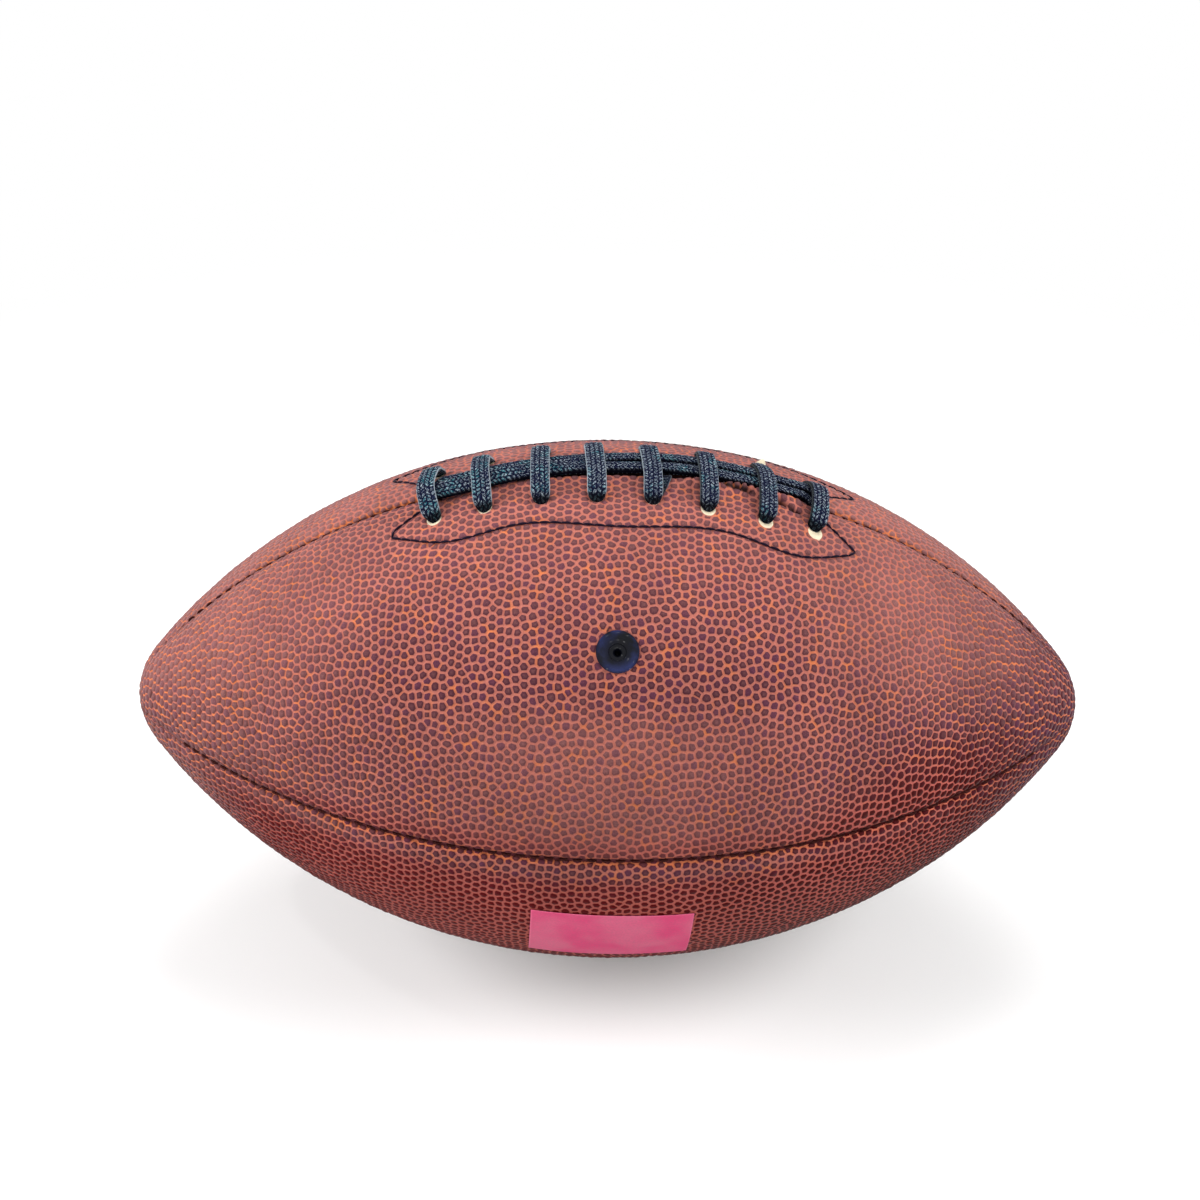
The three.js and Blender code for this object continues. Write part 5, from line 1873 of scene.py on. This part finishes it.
def lace_braid(colours):
    """Braided lace: dark navy yarns with pale and green flecks, pale at the edges of the crosses, and
    painted shade.
    """
    material, tree, shader = new_material("lace_braid")
    grain = fine_grain(tree, 3800.0, 90.0)
    along = mark(tree, "lace_along")
    across = mark(tree, "lace_across")
    plait = mark(tree, "plait")
    crossing = mark(tree, "crossing")
    yarn = mix_colours(tree, spread(tree, plait, 0.35, 0.95), colours.lace_dark, colours.lace_light)
    # Flecks that wander along the braid
    run = {"X": times(tree, along, 1.5), "Y": times(tree, across, 4.0), "Z": 0.0}
    wander = add_node(tree, "ShaderNodeCombineXYZ", run).outputs[0]
    squiggle = noise(tree, wander, 1.0, 2.0, distortion=1.1)
    from_line = reckon(tree, "ABSOLUTE", minus(tree, squiggle, 0.5))
    pale = times(tree, spread(tree, from_line, 0.036, 0.012), spread(tree, plait, 0.2, 0.75))
    on_ball = add_node(tree, "ShaderNodeSeparateXYZ", {"Vector": on_object(tree)}).outputs["X"]
    to_left = spread(tree, on_ball, 0.0, -0.05)
    zone = plus(tree, noise(tree, wander, 0.13, 1.0), times(tree, to_left, 0.12))
    green = times(tree, spread(tree, zone, 0.52, 0.68), spread(tree, plait, 0.35, 0.9))
    yarn = mix_colours(tree, times(tree, green, 0.75), yarn, colours.lace_teal)
    yarn = mix_colours(tree, times(tree, pale, 0.75), yarn, colours.lace_fleck)
    # Edges, pale on the crosses, with painted shade on the strands' edges and on the left edges of the right
    # crosses
    edge = reckon(tree, "ABSOLUTE", across)
    rim = times(tree, times(tree, spread(tree, edge, 0.9, 0.97), crossing), 0.5)
    yarn = mix_colours(tree, rim, yarn, colours.lace_fleck)
    left_edge_shade = times(tree, spread(tree, across, -0.72, -0.92), spread(tree, on_ball, -0.01, 0.035))
    left_edge_shade = times(tree, left_edge_shade, crossing)
    yarn = scale_colour(tree, yarn, spread(tree, left_edge_shade, 0.0, 1.0, 1.0, 0.12))
    # Painted shade where the lace dives into its holes
    yarn = scale_colour(tree, yarn, spread(tree, mark(tree, "diving"), 0.0, 0.7, 1.0, 0.14))
    strand_edge_shade = times(tree, edge, minus(tree, 1.0, crossing))
    yarn = scale_colour(tree, yarn, spread(tree, strand_edge_shade, 0.68, 0.95, 1.0, 0.25))
    yarn = scale_colour(tree, yarn, between(tree, grain["Mottle"], 0.78, 1.2))
    rough = between(tree, grain["Mottle"], 0.62, 0.82)
    dress(tree, shader, yarn, rough, bump(tree, grain["Height"], 0.4, 0.1 * MM), gloss=0.06)
    return material


def thread_finish(name, colour, rough):
    """Twisted sewing thread."""
    material, tree, shader = new_material(name)
    run = {"Along": mark(tree, "thread_along"), "Turn": mark(tree, "thread_turn"), "Twist": 2.6}
    twist = place_group(tree, twisted_thread_group, run)
    grain = fine_grain(tree, 5200.0, 120.0)
    shade = times(tree, between(tree, twist["Ply"], 0.7, 1.3), between(tree, grain["Mottle"], 0.85, 1.15))
    base = mix_colours(tree, grain["Patch"], colour, darker(colour, 0.75))
    uneven = between(tree, grain["Mottle"], rough - 0.08, rough + 0.08)
    base = scale_colour(tree, base, shade)
    dress(tree, shader, base, uneven, bump(tree, twist["Height"], 0.5, 0.1 * MM), gloss=0.1)
    return material


def hole_edge_finish(colours):
    """Pale cut edge of the facing."""
    material, tree, shader = new_material("hole_edge")
    grain = fine_grain(tree, 2200.0, 200.0)
    base = mix_colours(tree, grain["Patch"], colours.hole_edge, darker(colours.hole_edge, 0.86))
    base = scale_colour(tree, base, between(tree, grain["Mottle"], 0.86, 1.04))
    rough = between(tree, grain["Mottle"], 0.55, 0.75)
    dress(tree, shader, base, rough, bump(tree, grain["Height"], 0.3, 0.1 * MM))
    return material


def valve_rubber(colours):
    """Moulded glossy rubber, darker towards the middle of the bowl."""
    material, tree, shader = new_material("valve_rubber")
    grain = fine_grain(tree, 1900.0, 260.0)
    base = mix_colours(tree, mark(tree, "inward"), colours.valve, colours.valve_deep)
    base = mix_colours(tree, grain["Patch"], base, colours.valve_deep)
    base = scale_colour(tree, base, between(tree, grain["Mottle"], 0.85, 1.15))
    rough = between(tree, grain["Mottle"], 0.3, 0.4)
    normal = bump(tree, grain["Height"], 0.06, 0.1 * MM)
    coat = {"Coat Weight": 0.28, "Coat Roughness": 0.03}
    dress(tree, shader, base, rough, normal, gloss=0.06, others=coat)
    return material


def label_paper(colours):
    """Plain coloured paper with fibres and a slightly worn edge."""
    material, tree, shader = new_material("label_paper")
    grain = fine_grain(tree, 1500.0, 70.0)
    pale = tuple(part + (1 - part) * 0.18 for part in colours.label)
    base = mix_colours(tree, times(tree, grain["Patch"], 0.6), colours.label, pale)
    paled = spread(tree, mark(tree, "label_edge"), 0.0, 0.5, 0.45, 0.0)
    base = mix_colours(tree, paled, base, pale)
    base = scale_colour(tree, base, between(tree, grain["Mottle"], 0.93, 1.05))
    rough = between(tree, grain["Mottle"], 0.6, 0.75)
    dress(tree, shader, base, rough, bump(tree, grain["Height"], 0.2, 0.08 * MM))
    return material


def woven_cloth(name, colour, pitch, rough):
    """Coarse woven cloth of an inner layer."""
    material, tree, shader = new_material(name)
    weave = place_group(tree, plain_weave_group, {"Pitch": pitch})
    grain = fine_grain(tree, 1800.0, 60.0)
    threads = between(tree, weave["Thread"], 0.75, 1.05)
    shade = times(tree, threads, between(tree, grain["Mottle"], 0.9, 1.06))
    base = mix_colours(tree, grain["Patch"], colour, darker(colour, 0.85))
    uneven = between(tree, grain["Mottle"], rough - 0.06, rough + 0.06)
    base = scale_colour(tree, base, shade)
    dress(tree, shader, base, uneven, bump(tree, weave["Height"], 0.4, 0.2 * MM))
    return material


def smooth_hide(name, colour, rough):
    """Plain leather or rubber of an inner layer."""
    material, tree, shader = new_material(name)
    grain = fine_grain(tree, 900.0, 50.0)
    base = mix_colours(tree, grain["Patch"], colour, darker(colour, 0.8))
    base = scale_colour(tree, base, between(tree, grain["Mottle"], 0.85, 1.12))
    uneven = between(tree, grain["Mottle"], rough - 0.08, rough + 0.08)
    dress(tree, shader, base, uneven, bump(tree, grain["Height"], 0.25, 0.2 * MM), gloss=0.15)
    return material


def dress_inside(colours):
    """Finishes of the layers inside the cover."""
    lining = woven_cloth("lining_cloth", LINING_COLOUR, pitch=0.9 * MM, rough=0.88)
    facing = woven_cloth("facing_vinyl", tuple(colours.hole_edge), pitch=0.5 * MM, rough=0.62)
    tongue = smooth_hide("tongue_leather", TONGUE_COLOUR, rough=0.7)
    bladder = smooth_hide("bladder_rubber", BLADDER_COLOUR, rough=0.5)
    finishes = {"tongue": tongue, "bladder": bladder}
    for panel in PANELS:
        finishes[f"lining_{panel.place}"] = lining
    for place in ("front", "back"):
        finishes[f"lace_facing_{place}"] = facing
    for name, material in finishes.items():
        layer = bpy.data.objects[name]
        layer.data.materials.clear()
        layer.data.materials.append(material)


# Stage

CAMERA_AROUND = math.radians(-1.851)
CAMERA_UP = math.radians(36.041)
CAMERA_ROLL = math.radians(1.8)
CAMERA_DISTANCE = 0.6948
CAMERA_LENS = 68.07
CAMERA_SENSOR = 36
CAMERA_SHIFT = (-0.00803, 0.0806)

# Lamps, as (name, place, power, tint)
LAMPS = (
    ("front_lamp", (-0.12, -1.1, 0.55), 3.8, (1, 0.99, 0.98)),
    ("left_lamp", (-1.25, 0.0, 0.6), 19.0, (1, 1, 1)),
    ("right_lamp", (1.1, -0.1, 0.8), 13.5, (1, 1, 1)),
    ("top_lamp", (0.1, 0.55, 1.25), 6.0, (1, 1, 1)),
)
LAMP_SIZE = 0.8
SPARK_SIZE = 0.07
SPARK_POWER = 0.8
SPARK_PLACES = (
    (0.034, -1.202, 0.2),
    (0.571, -1.042, 0.267),
    (-0.472, -1.093, 0.263),
    (-0.692, 0.002, 1.047),
)
ROOM_LIGHT = 0.28
FLOOR_RADIUS = 6.0
FLOOR_SIDES = 64
FLOOR_TONE_SEEN = (0.9, 0.9, 0.9)
FLOOR_TONE_THROWN = (0.2, 0.2, 0.2)
FLOOR_GLOW_NEAR = 0.12
FLOOR_SHADOW_NEAR = 0.2
FLOOR_SHADOW_FAR = 0.5


def make_camera(ball):
    """The camera at the photograph's angle."""
    back = Vector(
        (
            math.sin(CAMERA_AROUND) * math.cos(CAMERA_UP),
            -math.cos(CAMERA_AROUND) * math.cos(CAMERA_UP),
            math.sin(CAMERA_UP),
        )
    )
    level_right = (-back).cross(Vector((0, 0, 1))).normalized()
    level_up = level_right.cross(-back)
    right = math.cos(CAMERA_ROLL) * level_right + math.sin(CAMERA_ROLL) * level_up
    up = math.cos(CAMERA_ROLL) * level_up - math.sin(CAMERA_ROLL) * level_right
    lens = bpy.data.cameras.new("studio_camera")
    lens.lens = CAMERA_LENS
    lens.sensor_width = CAMERA_SENSOR
    lens.shift_x, lens.shift_y = CAMERA_SHIFT
    camera = add_object("studio_camera", lens)
    turned = Matrix((right, up, back)).transposed().to_4x4()
    camera.matrix_world = Matrix.Translation(Vector((0, 0, ball.radius)) + CAMERA_DISTANCE * back) @ turned
    bpy.context.scene.camera = camera


def add_lamp(name, place, size, power, tint, aim, in_gloss):
    """A soft round lamp that looks at a point, and shows in gloss or stays out of it."""
    light = bpy.data.lights.new(name, "AREA")
    light.shape = "DISK"
    light.size = size
    light.energy = power
    light.color = tint
    lamp = add_object(name, light)
    lamp.location = place
    lamp.rotation_euler = (Vector(aim) - Vector(place)).to_track_quat("-Z", "Y").to_euler()
    lamp.visible_glossy = in_gloss


def seen_directly(tree):
    """1 for rays that show the background itself, 0 for light that it throws on the ball."""
    path = tree.nodes.new("ShaderNodeLightPath")
    seen = reckon(tree, "MAXIMUM", path.outputs["Is Camera Ray"], path.outputs["Is Glossy Ray"])
    return reckon(tree, "MAXIMUM", seen, path.outputs["Is Transmission Ray"])


def make_floor():
    """A pale floor, white to the camera, which keeps the ball's soft shadow."""
    angle = angles_round(FLOOR_SIDES)
    ring = np.stack([FLOOR_RADIUS * np.cos(angle), FLOOR_RADIUS * np.sin(angle), 0 * angle], axis=1)
    mesh = bpy.data.meshes.new("floor")
    mesh.from_pydata([tuple(point) for point in ring], [], [tuple(range(FLOOR_SIDES))])
    floor = add_object("floor", mesh)
    material = bpy.data.materials.new("floor_white")
    material.use_nodes = True
    tree = material.node_tree
    tree.nodes.clear()
    seen = seen_directly(tree)
    away = add_node(tree, "ShaderNodeVectorMath", {0: on_object(tree)}, operation="LENGTH").outputs["Value"]
    away = spread(tree, away, FLOOR_SHADOW_NEAR, FLOOR_SHADOW_FAR)
    near_tone = mix_colours(tree, away, FLOOR_TONE_SEEN, (0, 0, 0))
    tone = mix_colours(tree, seen, FLOOR_TONE_THROWN, near_tone)
    paint = add_node(tree, "ShaderNodeBsdfDiffuse", {"Color": tone})
    shine = times(tree, seen, between(tree, away, FLOOR_GLOW_NEAR, 1.0))
    glow = add_node(tree, "ShaderNodeEmission", {"Color": (1, 1, 1, 1), "Strength": shine})
    both = add_node(tree, "ShaderNodeAddShader", {0: paint.outputs[0], 1: glow.outputs[0]})
    add_node(tree, "ShaderNodeOutputMaterial", {"Surface": both.outputs[0]})
    mesh.materials.append(material)


def make_world():
    """A white room, dimmer as a light than it looks."""
    world = bpy.data.worlds.new("studio")
    bpy.context.scene.world = world
    world.use_nodes = True
    tree = world.node_tree
    tree.nodes.clear()
    strength = between(tree, seen_directly(tree), ROOM_LIGHT, 1.0)
    sky = add_node(tree, "ShaderNodeBackground", {"Color": (1, 1, 1, 1), "Strength": strength})
    add_node(tree, "ShaderNodeOutputWorld", {"Surface": sky.outputs[0]})


def make_stage(sizes):
    """The floor, the lamps and the camera."""
    bpy.context.scene.view_settings.view_transform = "Standard"
    ball = Ball(sizes)
    aim = (0, 0, ball.radius)
    make_floor()
    make_world()
    for name, place, power, tint in LAMPS:
        add_lamp(name, place, LAMP_SIZE, power, tint, aim, in_gloss=False)
    for place in SPARK_PLACES:
        add_lamp("spark_lamp", place, SPARK_SIZE, SPARK_POWER, (1, 1, 1), aim, in_gloss=True)
    make_camera(ball)


# Operators


def settings():
    """The scene's sizes and colours."""
    scene = bpy.context.scene
    return scene.football_sizes, scene.football_colours


class FOOTBALL_OT_stage(bpy.types.Operator):
    """Make the floor, the lamps and the camera"""

    bl_idname = "football.stage"
    bl_label = "Stage"

    def execute(self, context):
        make_stage(settings()[0])
        return {"FINISHED"}


class FOOTBALL_OT_cover(bpy.types.Operator):
    """Make the four pebbled panels and the gathered tips"""

    bl_idname = "football.cover"
    bl_label = "Cover panels"

    def execute(self, context):
        make_cover(*settings())
        return {"FINISHED"}


class FOOTBALL_OT_hole_edges(bpy.types.Operator):
    """Make the pale edges of the lace holes"""

    bl_idname = "football.hole_edges"
    bl_label = "Hole edges"

    def execute(self, context):
        make_hole_edges(*settings())
        return {"FINISHED"}


class FOOTBALL_OT_lace(bpy.types.Operator):
    """Make the braided lace"""

    bl_idname = "football.lace"
    bl_label = "Lace"

    def execute(self, context):
        make_lace(*settings())
        return {"FINISHED"}


class FOOTBALL_OT_outline_stitches(bpy.types.Operator):
    """Make the stitched outline beside the lacing"""

    bl_idname = "football.outline_stitches"
    bl_label = "Outline stitches"

    def execute(self, context):
        make_outline_stitches(*settings())
        return {"FINISHED"}


class FOOTBALL_OT_seam_threads(bpy.types.Operator):
    """Make the stitches in the seams"""

    bl_idname = "football.seam_threads"
    bl_label = "Seam threads"

    def execute(self, context):
        make_seam_threads(*settings())
        return {"FINISHED"}


class FOOTBALL_OT_valve(bpy.types.Operator):
    """Make the air valve"""

    bl_idname = "football.valve"
    bl_label = "Valve"

    def execute(self, context):
        make_valve(*settings())
        return {"FINISHED"}


class FOOTBALL_OT_label(bpy.types.Operator):
    """Make the plain paper label"""

    bl_idname = "football.label"
    bl_label = "Label"

    def execute(self, context):
        make_label(*settings())
        return {"FINISHED"}


class FOOTBALL_OT_inside(bpy.types.Operator):
    """Give the layers inside the cover their finishes"""

    bl_idname = "football.inside"
    bl_label = "Inner layers"

    def execute(self, context):
        dress_inside(settings()[1])
        return {"FINISHED"}


OPERATORS = (
    FOOTBALL_OT_stage,
    FOOTBALL_OT_cover,
    FOOTBALL_OT_hole_edges,
    FOOTBALL_OT_lace,
    FOOTBALL_OT_outline_stitches,
    FOOTBALL_OT_seam_threads,
    FOOTBALL_OT_valve,
    FOOTBALL_OT_label,
    FOOTBALL_OT_inside,
)


class FOOTBALL_PT_pieces(bpy.types.Panel):
    """The football's pieces and settings"""

    bl_idname = "FOOTBALL_PT_pieces"
    bl_label = "Football"
    bl_space_type = "VIEW_3D"
    bl_region_type = "UI"
    bl_category = "Football"

    def draw(self, context):
        for operator in OPERATORS:
            self.layout.operator(operator.bl_idname)
        for group in settings():
            box = self.layout.box()
            for name in group.__annotations__:
                box.prop(group, name)


CLASSES = (FootballSizes, FootballColours, *OPERATORS, FOOTBALL_PT_pieces)


def register():
    """Registers the classes and the settings."""
    for made in CLASSES:
        bpy.utils.register_class(made)
    bpy.types.Scene.football_sizes = PointerProperty(type=FootballSizes)
    bpy.types.Scene.football_colours = PointerProperty(type=FootballColours)


def unregister():
    """Removes the settings and the classes."""
    del bpy.types.Scene.football_colours
    del bpy.types.Scene.football_sizes
    for made in reversed(CLASSES):
        bpy.utils.unregister_class(made)


def main():
    """Makes every piece."""
    register()
    bpy.ops.football.stage()
    bpy.ops.football.cover()
    bpy.ops.football.hole_edges()
    bpy.ops.football.lace()
    bpy.ops.football.outline_stitches()
    bpy.ops.football.seam_threads()
    bpy.ops.football.valve()
    bpy.ops.football.label()
    bpy.ops.football.inside()


if __name__ == "__main__":
    main()
